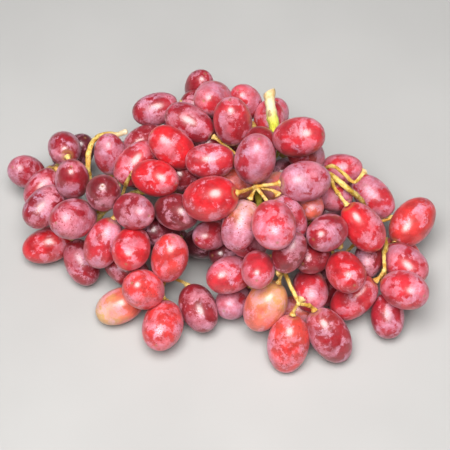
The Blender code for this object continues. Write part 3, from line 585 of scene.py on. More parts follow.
def hidden_berries(seen):
    """Berries at seeded places under the seen ones in the picture, clear of them and of each other."""
    random = np.random.default_rng(SEED)
    x = random.uniform(*HIDDEN_X, HIDDEN_TRIES)
    y = random.uniform(*HIDDEN_Y, HIDDEN_TRIES)
    height = random.uniform(BERRY_MIN_HEIGHT, HIDDEN_TOP, HIDDEN_TRIES)
    radius = BERRY_RADIUS * random.uniform(*HIDDEN_RADII, HIDDEN_TRIES)
    half = radius * random.uniform(*HIDDEN_RATIOS, HIDDEN_TRIES)
    wander = random.uniform(-HIDDEN_WANDER, HIDDEN_WANDER, (HIDDEN_TRIES, 3))
    middle = place(x, y, height)
    axis = unit(middle - nearest_of(middle, bearing_places()) + wander)
    outline_x, outline_y = outline_pixels(middle, axis, radius, half)
    fits = under_seen(outline_x, outline_y).mean(1) > HIDDEN_COVER[0]
    fits &= behind_seen(middle, seen)
    fits &= middle[:, 1] < HIDDEN_BACK
    fits &= (np.linalg.norm(middle[:, None] - seen.middle, axis=2) > HIDDEN_SPACING - HIDDEN_NEARER).all(1)
    chosen = []
    for trial in np.nonzero(fits)[0]:
        apart = np.linalg.norm(middle[chosen] - middle[trial], axis=1)
        if (apart > HIDDEN_SPACING).all():
            chosen.append(trial)
    count = len(chosen)
    return SimpleNamespace(
        middle=middle[chosen],
        axis=axis[chosen],
        radius=radius[chosen],
        half=half[chosen],
        seen=np.zeros(count, bool),
        supple=np.full(count, HIDDEN_SUPPLE),
    )


def behind_seen(middle, seen):
    """Whether each point is farther off than a seen berry on its line of sight, and in front of none."""
    sight = middle - EYE
    distance = np.linalg.norm(sight, axis=1)
    sight = sight / distance[:, None]
    offset = seen.middle - EYE
    along = sight @ offset.T
    aside = np.sqrt(np.maximum((offset**2).sum(1) - along**2, 0))
    on_line = aside < SIGHT_REACH
    nearer = on_line & (along < distance[:, None] - WELL_BEHIND)
    level = on_line & (along > distance[:, None] - JUST_BEHIND)
    return nearer.any(1) | ((on_line & (along < distance[:, None])).any(1) & ~level.any(1))


# Easing the berries apart


def balls_of(berries):
    """Five balls that fill each berry: their places, radii and distance along its axis."""
    reach = berries.half - berries.radius**2 / berries.half
    along = np.linspace(-1, 1, BALLS) * reach[:, None]
    focus = (berries.half**2 - berries.radius**2)[:, None]
    radii = berries.radius[:, None] * np.sqrt(1 - along**2 / focus)
    return berries.middle[:, None] + along[:, :, None] * berries.axis[:, None], radii, along


def narrowest(offset, radii, others, margin):
    """Each row's smallest gap between its balls and the others, its direction, and which two they are."""
    distance = np.linalg.norm(offset, axis=3)
    gap = (distance - radii[:, :, None] - others - margin).reshape(len(offset), -1)
    best = gap.argmin(1)
    row = np.arange(len(offset))
    ball, other = np.divmod(best, offset.shape[2])
    direction = offset[row, ball, other] / distance[row, ball, other][:, None]
    return gap[row, best], direction, ball, other


def neighbours(berries):
    """Pairs of near berries: first, second, gap, direction from first to second and where on each axis."""
    balls, radii, along = balls_of(berries)
    apart = np.linalg.norm(berries.middle[:, None] - berries.middle, axis=2)
    near = apart < berries.half[:, None] + berries.half + NEAR_GAP
    first, second = np.nonzero(np.triu(near, 1))
    offset = balls[second][:, None, :, :] - balls[first][:, :, None, :]
    gap, direction, ball_a, ball_b = narrowest(offset, radii[first], radii[second][:, None, :], 0.0)
    return first, second, gap, direction, along[first, ball_a], along[second, ball_b]


def push_from_stem(berries, beads):
    """How far each berry has to move to be clear of the beads along the stem's runs."""
    places, bead_radii = beads
    balls, radii, along = balls_of(berries)
    gap, direction, ball, bead = narrowest(balls[:, :, None] - places, radii, bead_radii, NODE_GAP)
    return np.maximum(-gap, 0)[:, None] * direction


def half_height(berries):
    """How far each berry reaches below its middle."""
    rise = berries.axis[:, 2]
    return np.sqrt((berries.half * rise) ** 2 + berries.radius**2 * (1 - rise**2))


def ease(berries, branch, linked, beads, rounds):
    """Move the berries until they only press on their linked neighbours and rest on the table.

    A seen berry moves along its line of sight and hardly across it. The others move freely and sink,
    give way more, and turn their stem ends to the stem. Its supple value is how readily a berry turns.
    """
    home = berries.middle.copy()
    bearing = bearing_places()
    sight = unit(home - EYE)
    seen = berries.seen[:, None]
    count = len(home)
    for turn in range(rounds):
        first, second, gap, direction, along_a, along_b = neighbours(berries)
        together = branch[first] == branch[second]
        push = np.maximum(np.where(together, -PRESS, CLEARANCE) - gap, 0)
        held = linked[first, second]
        push = push + np.where(held, LINK_PULL * np.minimum(LEAST_PRESS - PRESS - gap, 0), 0)
        shove = direction * push[:, None]
        weight = np.where(berries.seen, 1.0, HIDDEN_WEIGHT)
        share_a = (weight[first] / (weight[first] + weight[second]))[:, None]
        move = np.zeros((count, 3))
        twist = np.zeros((count, 3))
        busy = np.zeros(count)
        for side, push_side, along in (
            (first, -shove * share_a, along_a), (second, shove * (1 - share_a), along_b),
        ):
            np.add.at(move, side, push_side)
            np.add.at(twist, side, push_side * along[:, None])
            np.add.at(busy, side, push != 0)
        share = FULL_SHARE / np.maximum(busy, FULL_SHARE)
        move = move * share[:, None] + STEM_PUSH * push_from_stem(berries, beads)
        along_sight = (move * sight).sum(1)[:, None] * sight
        berries.middle += np.where(seen, along_sight + ACROSS_SHARE * (move - along_sight), move)
        berries.axis = unit(berries.axis + twist * (berries.supple * share / berries.radius**2)[:, None])
        outward = unit(berries.middle - nearest_of(berries.middle, bearing))
        berries.axis = unit(berries.axis + np.where(seen, 0, OUTWARD_TURN) * outward)
        calm = 1 - turn / rounds
        back = home - berries.middle
        back_along = (back * sight).sum(1)[:, None] * sight
        pull = HOME_ACROSS * (back - back_along) + HOME_ALONG * calm * back_along
        berries.middle += np.where(seen, pull, 0)
        berries.middle[:, 2] -= np.where(berries.seen, 0, SINKING * calm)
        under = np.maximum(half_height(berries) - REST_DIP - berries.middle[:, 2], 0)
        rise = np.where(seen, sight / sight[:, 2:], np.array([0.0, 0.0, 1.0]))
        berries.middle += rise * under[:, None]


def share_out(berries):
    """Give each berry to a side branch, so that the berries of a branch touch one another in a chain.

    Each side branch grows from the berry nearest the middle of its seen ones, always by the berry nearest
    that middle among those beside it. Returns each berry's branch and the pairs that hold a branch together.
    """
    first, second, gap, direction, along_a, along_b = neighbours(berries)
    beside = [[] for berry in berries.middle]
    for a, b, space in zip(first, second, GAP_COST * np.maximum(gap - BESIDE_GAP, 0)):
        beside[a].append((b, space))
        beside[b].append((a, space))
    sizes = [len(ellipses) for ellipses in SEEN_BERRIES.values()]
    own = np.repeat(np.arange(len(sizes)), sizes)
    own = np.concatenate([own, np.full(len(berries.middle) - len(own), -1)])
    centres = np.array([berries.middle[own == number].mean(0) for number in range(len(sizes))])
    distance = np.linalg.norm(berries.middle[:, None] - centres, axis=2)
    distance[own[:, None] == np.arange(len(sizes))] *= OWN_SHARE
    count = len(berries.middle)
    branch = np.full(count, -1)
    linked = np.zeros((count, count), bool)
    waiting = []
    for number in range(len(sizes)):
        middle_one = np.where(own == number, distance[:, number], 1.0).argmin()
        waiting.append((0.0, int(middle_one), -1, number))
    while waiting:
        cost, berry, comes_from, number = heapq.heappop(waiting)
        if branch[berry] >= 0:
            continue
        branch[berry] = number
        if comes_from >= 0:
            linked[berry, comes_from] = linked[comes_from, berry] = True
        for other, space in beside[berry]:
            if branch[other] < 0:
                heapq.heappush(waiting, (distance[other, number] + space, other, berry, number))
    return branch, linked


def stalklet_starts(berries):
    """Where on the stem each berry's own short stalk starts.

    That is near by, best at the end of a run, with little turn and few berries in its way.
    """
    lines = bearing_lines()
    bearing = np.concatenate(lines)
    ends = [line[-1] for line in lines]
    at_end = (bearing[:, None] == np.array(ends)).all(2).any(1)
    starts = []
    steps = np.linspace(0.25, 1, 8)[:, None]
    for berry, (middle, axis, half) in enumerate(zip(berries.middle, berries.axis, berries.half)):
        neck = middle - axis * (half + SEAT_GAP + SEAT_DEPTH)
        distance = np.linalg.norm(bearing - neck, axis=1)
        near = distance < distance.min() + STALKLET_DETOUR
        points = bearing[near][:, None] * (1 - steps) + neck * steps
        offset = points[:, :, None] - berries.middle
        along = (offset * berries.axis).sum(3)
        across = (offset**2).sum(3) - along**2
        inside = (along / berries.half) ** 2 + across / berries.radius**2 < 1.2
        inside[:, :, berry] = False
        turn = 1 - unit(neck - bearing[near]) @ axis
        cost = distance[near] + STALKLET_DETOUR * (turn / 2 + inside.any(2).sum(1) / 5)
        cost -= RUN_END_PULL * at_end[near]
        starts.append(bearing[near][cost.argmin()])
    return np.array(starts)


def stalklet_line(berries, berry, start):
    """Middle line of a berry's own short stalk: from the stem to its neck, then to the berry's stem end."""
    axis = berries.axis[berry]
    seat = berries.middle[berry] - axis * (berries.half[berry] + SEAT_GAP)
    line = np.array([start, seat - axis * SEAT_DEPTH, seat])
    line[:, 2] = np.maximum(line[:, 2], 1.2 * SEAT_RADIUS)
    return line


def some_berries(berries, which):
    return SimpleNamespace(**{name: values[which] for name, values in vars(berries).items()})


def ease_apart(berries, beads, rounds):
    """Ease the berries apart with every pair kept clear."""
    count = len(berries.middle)
    ease(berries, np.arange(count), np.zeros((count, count), bool), beads, rounds)


def still_hidden(berries):
    """Which berries show as they should: the seen ones, and the others only where a seen one covers them."""
    seen = some_berries(berries, berries.seen)
    x, y = outline_pixels(berries.middle, berries.axis, berries.radius, berries.half)
    covered = under_seen(x, y).mean(1) > HIDDEN_COVER[1]
    return berries.seen | (covered & behind_seen(berries.middle, seen))


def lay_out_bunch():
    """Every berry of the bunch in place, its side branch, and where its stalklet starts."""
    berries = seen_berries()
    beads = stem_beads()
    ease_apart(berries, beads, FIRST_ROUNDS)
    for name, values in vars(hidden_berries(berries)).items():
        setattr(berries, name, np.concatenate([getattr(berries, name), values]))
    ease_apart(berries, beads, FIRST_ROUNDS)
    berries = some_berries(berries, still_hidden(berries))
    branch, linked = share_out(berries)
    ease(berries, branch, linked, beads, EASING_ROUNDS)
    return berries, branch, stalklet_starts(berries)


def middle_shift(berries):
    """What brings the middle of the bunch's footprint to the origin."""
    reach = np.sqrt(
        berries.half[:, None] ** 2 * berries.axis**2 + berries.radius[:, None] ** 2 * (1 - berries.axis**2)
    )
    low = (berries.middle - reach).min(0)
    high = (berries.middle + reach).max(0)
    return np.array([-(low[0] + high[0]) / 2, -(low[1] + high[1]) / 2, 0.0])


# Fine surfaces: each is worked out on a grid as whole arrays


def put_thing(name, data):
    """An object in the scene with this data."""
    thing = bpy.data.objects.new(name, data)
    bpy.context.scene.collection.objects.link(thing)
    return thing


def put_mesh(name, corners, quads, triangles, attributes, material):
    """An object from arrays: corners, faces of four and of three, and values for every corner."""
    mesh = bpy.data.meshes.new(name)
    mesh.vertices.add(len(corners))
    mesh.vertices.foreach_set("co", corners.astype(np.float32).ravel())
    loops = np.concatenate([quads.ravel(), triangles.ravel()]).astype(np.int32)
    sizes = np.concatenate([np.full(len(quads), 4), np.full(len(triangles), 3)])
    starts = np.concatenate([[0], np.cumsum(sizes)[:-1]]).astype(np.int32)
    mesh.loops.add(len(loops))
    mesh.loops.foreach_set("vertex_index", loops)
    mesh.polygons.add(len(sizes))
    mesh.polygons.foreach_set("loop_start", starts)
    mesh.update(calc_edges=True)
    mesh.shade_smooth()
    for label, values in attributes.items():
        kind = "FLOAT_COLOR" if values.shape[1] == 4 else "FLOAT_VECTOR"
        layer = mesh.attributes.new(label, kind, "POINT")
        field = "color" if kind == "FLOAT_COLOR" else "vector"
        layer.data.foreach_set(field, values.astype(np.float32).ravel())
    mesh.materials.append(material)
    return put_thing(name, mesh)


def closed_grid(rows, columns):
    """Faces of a closed skin: rows of corners round it, then one corner at each end."""
    row = np.arange(rows - 1)[:, None] * columns
    column = np.arange(columns)
    follow = (column + 1) % columns
    quads = np.stack([row + column, row + follow, row + columns + follow, row + columns + column], -1)
    first = np.full(columns, rows * columns)
    last_row = (rows - 1) * columns
    start = np.stack([first, follow, column], -1)
    end = np.stack([first + 1, last_row + column, last_row + follow], -1)
    return quads.reshape(-1, 4), np.concatenate([start, end])


def side_directions(axis):
    """Two directions square to each axis and to each other."""
    lift = np.where(np.abs(axis[..., 2:]) < 0.8, np.array([0.0, 0.0, 1.0]), np.array([1.0, 0.0, 0.0]))
    one = unit(np.cross(axis, lift))
    return one, np.cross(axis, one)


def berry_skins(berries):
    """Corners of every berry, and where each corner is on its own berry.

    At angle s from the stem end and angle t round the axis, a corner stands half * -cos(s) along the
    axis and radius * sin(s) ** BLUNTNESS * (1 + taper * cos(s)) off it. Low waves in s and t swell and
    dent it, a dip with a rim takes the stalklet and a small dip is left at the outer end. Rows crowd at
    the ends. Each corner also has a seeded place in the skin's pattern, and values that say how near it
    is to the outer scar and the collar at the stem end, and how far along the axis it stands.
    """
    random = np.random.default_rng(SKIN_SEED)
    count = len(berries.middle)
    v = np.arange(1, BERRY_ROWS + 1) / (BERRY_ROWS + 1)
    v = np.concatenate([v, [0.0, 1.0]])
    s = (math.pi * v - ROW_CROWDING * np.sin(2 * math.pi * v))[None, :, None]
    t = np.linspace(0, 2 * math.pi, BERRY_COLUMNS, endpoint=False)[None, None, :]
    taper = random.uniform(*SKIN_TAPER, (count, 1, 1))
    flat = random.uniform(*SKIN_FLAT, (count, 1, 1))
    turn = random.uniform(0, 2 * math.pi, (count, 1, 1))
    off = np.sin(s) ** BLUNTNESS * (1 + taper * np.cos(s)) * (1 + flat * np.cos(2 * (t - turn)))
    along = -np.cos(s) * (1 + 0 * t)
    wave = 0
    for number, size in enumerate(SKIN_WAVES):
        phase = random.uniform(0, 2 * math.pi, (2, count, 1, 1))
        wave = wave + size * np.sin((number + 1.5) * s + phase[0]) * np.cos((number + 1) * t + phase[1])
    wave = wave * np.sin(s)
    radius = berries.radius[:, None, None]
    half = berries.half[:, None, None]
    off = off * radius + wave
    stem_half = np.cos(s) > 0
    outer_half = np.cos(s) < 0
    lift = along * half + with_marks(0, off, STEM_DIP) * stem_half
    lift = lift + with_marks(0, off, STEM_RIM) * stem_half + with_marks(0, off, SCAR_DIP) * outer_half
    one, two = side_directions(berries.axis)
    across = off[..., None] * np.stack([np.cos(t), np.sin(t)], -1)
    local = np.concatenate([across, lift[..., None]], -1)
    turned = np.stack([one, two, berries.axis], 1)[:, None, None]
    corners = berries.middle[:, None, None] + (local[..., None, :] @ turned)[..., 0, :]
    scar = with_marks(0, off, SCAR_COLOUR) * outer_half
    collar = with_marks(0, off, COLLAR_COLOUR) * stem_half
    ends = np.stack(np.broadcast_arrays(scar, collar, along), -1)
    spread = random.uniform(-PATTERN_SPREAD, PATTERN_SPREAD, (count, 1, 1, 3))
    return close_ends(corners), close_ends(local / MM + spread), close_ends(ends)


def close_ends(values):
    """Rows of each berry as one list of corners, with the two end rows brought to one corner each."""
    count, rows, columns, size = values.shape
    body = values[:, :-2].reshape(count, (rows - 2) * columns, size)
    ends = values[:, -2:].mean(2)
    return np.concatenate([body, ends], 1)


def way_out(corners, berries, berry, margin):
    """Offsets of corners from a berry's middle, and the share of them that leads out of its skin.

    At a depth of 1 a corner is on the skin, swollen by the margin. The share is 1 / depth - 1, and
    nothing outside.
    """
    offset = corners - berries.middle[berry]
    along = offset @ berries.axis[berry]
    across = (offset**2).sum(1) - along**2
    depth = np.sqrt((along / berries.half[berry]) ** 2 + across / berries.radius[berry] ** 2) / margin
    return offset, np.maximum(1 / np.maximum(depth, LEAST_DEPTH) - 1, 0)


def press_together(berries, corners):
    """Dent the berries where they meet: each corner inside another berry moves halfway out of it."""
    first, second, gap = neighbours(berries)[:3]
    close = gap < PRESS_REACH
    first, second = first[close], second[close]
    moved = corners.copy()
    for a, b in zip(np.append(first, second), np.append(second, first)):
        offset, share = way_out(corners[a], berries, b, PRESS_MARGIN)
        moved[a] += 0.5 * offset * share[:, None]
    moved[..., 2] = np.maximum(moved[..., 2], FLOOR_GAP)
    return moved


def skin_looks(count):
    """Flesh colour of each berry and its habit: how much bloom, how unripe its one end, how speckled."""
    random = np.random.default_rng(LOOK_SEED)
    names = list(LOOKS)
    # Berries that don't show draw mostly dark looks: painted shade where the gaps between berries show them
    which = random.choice(len(names), count, p=HIDDEN_SHARES_FOR_SHADE)
    for number, look in enumerate(LOOKS.values()):
        which[list(look[2])] = number
    flesh = np.array([LOOKS[names[number]][0] for number in which])
    flesh = flesh * random.uniform(*FLESH_SPREAD, (count, 1))
    bloom = np.array([LOOKS[names[number]][1] for number in which])
    bloom = bloom + random.uniform(*BLOOM_SPREAD, count)
    unripe = np.zeros(count)
    unripe[list(UNRIPE)] = list(UNRIPE.values())
    speckle = np.full(count, FAINT_SPECKLE)
    speckle[list(SPECKLED)] = 1.0
    return np.column_stack([flesh, np.ones(count)]), np.stack([bloom, unripe, speckle], 1)


def make_berries(berries, branch, shift, material):
    """One piece of fine berries for each side branch.

    A berry named in GREEN_OUTSIDE has its unripe green at its outer end, not at its stem end.
    """
    corners, places, ends = berry_skins(berries)
    corners = press_together(berries, corners) + shift
    flesh, habit = skin_looks(len(corners))
    ends[list(GREEN_OUTSIDE), :, 2] *= -1
    quads, triangles = closed_grid(BERRY_ROWS, BERRY_COLUMNS)
    size = corners.shape[1]
    for number, name in enumerate(SEEN_BERRIES):
        members = np.nonzero(branch == number)[0]
        steps = (np.arange(len(members)) * size)[:, None, None]
        attributes = {
            "place": places[members].reshape(-1, 3),
            "ends": ends[members].reshape(-1, 3),
            "flesh": np.repeat(flesh[members], size, 0),
            "habit": np.repeat(habit[members], size, 0),
        }
        piece = put_mesh(
            "grapes_" + name,
            corners[members].reshape(-1, 3),
            (quads + steps).reshape(-1, 4),
            (triangles + steps).reshape(-1, 3),
            attributes,
            material,
        )
        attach(piece, "root")
        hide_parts("berries_" + name)


# The stem's surfaces


def carried_frames(line):
    """Directions square to a line at each of its points, carried along it without a twist."""
    forward = unit(np.gradient(line, axis=0))
    aside = [unit(np.cross(forward[0], ANY_WAY))]
    for ahead in forward[1:]:
        aside.append(unit(aside[-1] - ahead * (aside[-1] @ ahead)))
    aside = np.array(aside)
    return aside, np.cross(forward, aside)


def stem_tube(line, radii, ends, random, warts, sides, stalk):
    """Corners of a closed tube along a line, and their values for the material.

    At distance d along the line and angle t round it, the radius is the given one times
    1 + a few small waves in d and t, plus warts, so many to a millimetre: low round bumps at seeded
    places. The cut end of the stalk slants up to the right, by CUT_SLANT times the way to the right,
    and the stalk has a scar.
    """
    d = distance_along(line)
    t = np.linspace(0, 2 * math.pi, sides, endpoint=False)
    one, two = carried_frames(line)
    wave = np.zeros((len(line), sides))
    for number, (size, length) in enumerate(STEM_WAVES):
        phase = random.uniform(0, 2 * math.pi, 2)
        lengthwise = size * np.sin(2 * math.pi * d[:, None] / length + phase[0])
        wave += lengthwise * np.cos((number % 3) * t + phase[1])
    off = radii[:, None] * (1 + wave)
    wart = np.zeros((len(line), sides))
    for spot in range(int(warts * d[-1] / MM)):
        where = random.uniform(0, d[-1])
        angle = random.uniform(0, 2 * math.pi)
        around = (np.mod(t - angle + math.pi, 2 * math.pi) - math.pi) * radii[:, None]
        size = random.uniform(*WART_SIZES) * MM
        wart += np.exp(-((d[:, None] - where) ** 2 + around**2) / size**2)
    off = off + WART_HEIGHT * np.minimum(wart, WART_MOST)
    direction = one[:, None] * np.cos(t)[:, None] + two[:, None] * np.sin(t)[:, None]
    corners = line[:, None] + off[..., None] * direction
    if stalk:
        slant = off * direction[..., 0] * with_marks(0, d[:, None], (CUT_SLANT, 0, CUT_REACH))
        corners = corners - slant[..., None] * unit(line[4] - line[0])
        facing = np.arccos(np.clip(direction @ unit(np.array(SCAR_SIDE)), -1, 1)) * radii[:, None]
        scar = np.exp(-((d[:, None] - SCAR_AT) ** 2 + facing**2) / SCAR_SIZE**2)
        corners = corners - SCAR_DEPTH * scar[..., None] * direction
        wart = wart + SCAR_SHADE * scar
    corners = np.concatenate([corners.reshape(-1, 3), line[:1], line[-1:]])
    grain = np.stack(np.broadcast_arrays(d[:, None] / MM, (t * 2)[None], wart), -1).reshape(-1, 3)
    grain = np.concatenate([grain, [[0, 0, 0], [d[-1] / MM, 0, 0]]])
    habit = np.repeat(ends, sides, 0)
    habit = np.concatenate([habit, ends[:1], ends[-1:]])
    return corners, grain, habit


def rounded_ends(radii, d, start, end):
    """Radii drawn in to nothing over the first and last stretch, as a quarter circle does."""
    near_start = np.clip(d / start, 0, 1)
    near_end = np.clip((d[-1] - d) / end, 0, 1)
    return radii * np.sqrt(1 - (1 - near_start) ** 2) * np.sqrt(1 - (1 - near_end) ** 2)


def even_line(line, step):
    """The same line with its points a step apart."""
    d = distance_along(line)
    count = max(int(d[-1] / step), 6)
    at = np.linspace(0, d[-1], count)
    return np.stack([np.interp(at, d, line[:, side]) for side in range(3)], 1), at


def fine_run(name):
    """One run of the stem: its line, its radii, and how green, tan or pale it is along it: pale as cut wood,
    and on the stalk also pale as a painted highlight.

    Bell curves of the distance to an end flare the cut stalk and the ends of the bare runs. The other
    runs end in the stem, where they are rounded and out of sight.
    """
    first, last = STEM_RUNS[name][:2]
    line = stem_run(name, FINE_ROUTE_STEP)[0]
    if name not in BARE_RUNS:
        line = np.vstack([line, line[-1] + SUNK_END * unit(line[-1] - line[-2])])
    line, d = even_line(line, RUN_STEP)
    radii = np.interp(d, [0, d[-1]], [first * MM, last * MM])
    swells, tans, cuts_and_highlight, rounding = RUN_ENDS.get(name, PLAIN_ENDS)
    from_end = d if name == "stalk" else d[-1] - d
    radii = with_marks(radii + RUN_WIDENING.get(name, 0.0), from_end, *swells)
    radii = rounded_ends(radii, d, *rounding)
    green = np.interp(d / MM, *RUN_GREEN.get(name, PLAIN_GREEN))
    tan = with_marks(0 * d, from_end, *tans)
    # Pale cut wood at the ends, and on the stalk also a pale band that is a painted highlight
    cut = with_marks(0 * d, from_end, *cuts_and_highlight)
    return line, radii, np.stack([green, tan, cut], 1)


def fine_stalklet(berries, berry, start):
    """One berry's stalklet: a curve from the stem to the berry's dip, swelling to its seat.

    The line bends from the start towards the neck and into the berry's axis. The radius grows by
    a bell curve of the distance to either end.
    """
    root, neck, seat = stalklet_line(berries, berry, start)
    seat = seat + berries.axis[berry] * (SEAT_GAP + SEAT_SINK)
    u = np.linspace(0, 1, STALKLET_POINTS)[:, None]
    middle = root + STALKLET_BEND * (neck - root)
    line = (1 - u) ** 3 * root + 3 * (1 - u) ** 2 * u * middle + 3 * (1 - u) * u**2 * neck + u**3 * seat
    line = np.vstack([root - SUNK_END * unit(middle - root), line])
    line, d = even_line(line, STALKLET_STEP)
    left = d[-1] - d
    radii = with_marks(with_marks(FINE_STALKLET, d, STALKLET_ROOT), left, STALKLET_SEAT)
    radii = rounded_ends(radii, d, *STALKLET_ROUNDING)
    green = with_marks(STALKLET_GREEN, d, ROOT_GREEN)
    return line, radii, np.stack([green, with_marks(0, left, SEAT_TAN), 0 * d], 1)


def clear_of_berries(berries, corners):
    """Stem corners inside a berry move straight out from its middle to just past its skin.

    Near the stem end of the berry they stay, because its stalklet is rooted there.
    """
    for berry, stem_end in enumerate(berries.half[:, None] * berries.axis):
        offset, share = way_out(corners, berries, berry, STEM_MARGIN)
        from_end = np.linalg.norm(offset + stem_end, axis=1)
        free = np.clip((from_end - SEAT_REACH) / SEAT_BLEND, 0, 1)
        corners = corners + offset * (free * share)[:, None]
    return corners


def make_stem(berries, starts, shift, material):
    """The stem as one piece: its runs and every berry's stalklet, each closed and rooted in its run."""
    random = np.random.default_rng(STEM_SEED)
    runs = [(*fine_run(name), RUN_COLUMNS, STEM_WARTS, name == "stalk") for name in STEM_RUNS]
    for berry, start in enumerate(starts):
        runs.append((*fine_stalklet(berries, berry, start), STALKLET_COLUMNS, STALKLET_WARTS, False))
    tubes = []
    base = 0
    for line, radii, ends, sides, warts, stalk in runs:
        corners, grain, habit = stem_tube(line, radii, ends, random, warts, sides, stalk)
        quads, triangles = closed_grid(len(line), sides)
        corners = clear_of_berries(berries, corners) + shift
        tubes.append((corners, quads + base, triangles + base, grain, habit))
        base += len(corners)
    corners, quads, triangles, grain, habit = (np.concatenate(column) for column in zip(*tubes))
    attributes = {"grain": grain, "habit": habit}
    piece = put_mesh("green_stem", corners, quads, triangles, attributes, material)
    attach(piece, "root")
    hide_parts("stem")


# Materials


class Maker:
    """Short calls to add and join shader nodes in one material."""

    def __init__(self, name):
        self.material = bpy.data.materials.new(name)
        self.material.use_nodes = True
        self.tree = self.material.node_tree
        self.shader = self.tree.nodes["Principled BSDF"]

    def put(self, socket, value):
        """Link an output to a socket, or set the socket to a number or colour."""
        if isinstance(value, bpy.types.NodeSocket):
            self.tree.links.new(value, socket)
        else:
            socket.default_value = value

    def node(self, kind, inputs=None, **settings):
        made = self.tree.nodes.new(kind)
        for name, value in settings.items():
            setattr(made, name, value)
        for key, value in (inputs or {}).items():
            self.put(made.inputs[key], value)
        return made

    def attribute(self, name, output="Vector"):
        return self.node("ShaderNodeAttribute", attribute_name=name).outputs[output]

    def math(self, operation, a, b):
        return self.node("ShaderNodeMath", {0: a, 1: b}, operation=operation).outputs[0]

    def plus(self, a, b):
        return self.math("ADD", a, b)

    def times(self, a, b):
        return self.math("MULTIPLY", a, b)

    def noise(self, vector, scale, detail=2.0, roughness=0.5, distortion=0.0):
        made = self.node("ShaderNodeTexNoise", {"Vector": vector, "Scale": scale, "Detail": detail})
        self.put(made.inputs["Roughness"], roughness)
        self.put(made.inputs["Distortion"], distortion)
        return made.outputs["Fac"]

    def cells(self, vector, scale, output="Distance"):
        return self.node("ShaderNodeTexVoronoi", {"Vector": vector, "Scale": scale}).outputs[output]

    def stretch(self, vector, scale):
        return self.node("ShaderNodeMapping", {"Vector": vector, "Scale": scale}).outputs[0]

    def band(self, value, low, high, to_low=0.0, to_high=1.0):
        """A smooth step of a value from low to high."""
        inputs = {"Value": value, "From Min": low, "From Max": high, "To Min": to_low, "To Max": to_high}
        return self.node("ShaderNodeMapRange", inputs, interpolation_type="SMOOTHSTEP").outputs[0]

    def mix(self, factor, a, b, blend="MIX"):
        made = self.node("ShaderNodeMix", data_type="RGBA", blend_type=blend)
        self.put(made.inputs[0], factor)
        self.put(made.inputs[6], a)
        self.put(made.inputs[7], b)
        return made.outputs[2]

    def split(self, vector):
        return self.node("ShaderNodeSeparateXYZ", {0: vector}).outputs

    def bump(self, height, strength, distance):
        inputs = {"Height": height, "Strength": strength, "Distance": distance}
        return self.node("ShaderNodeBump", inputs).outputs[0]

    def finish(self, **sockets):
        for name, value in sockets.items():
            self.put(self.shader.inputs[name.replace("_", " ")], value)
        return self.material


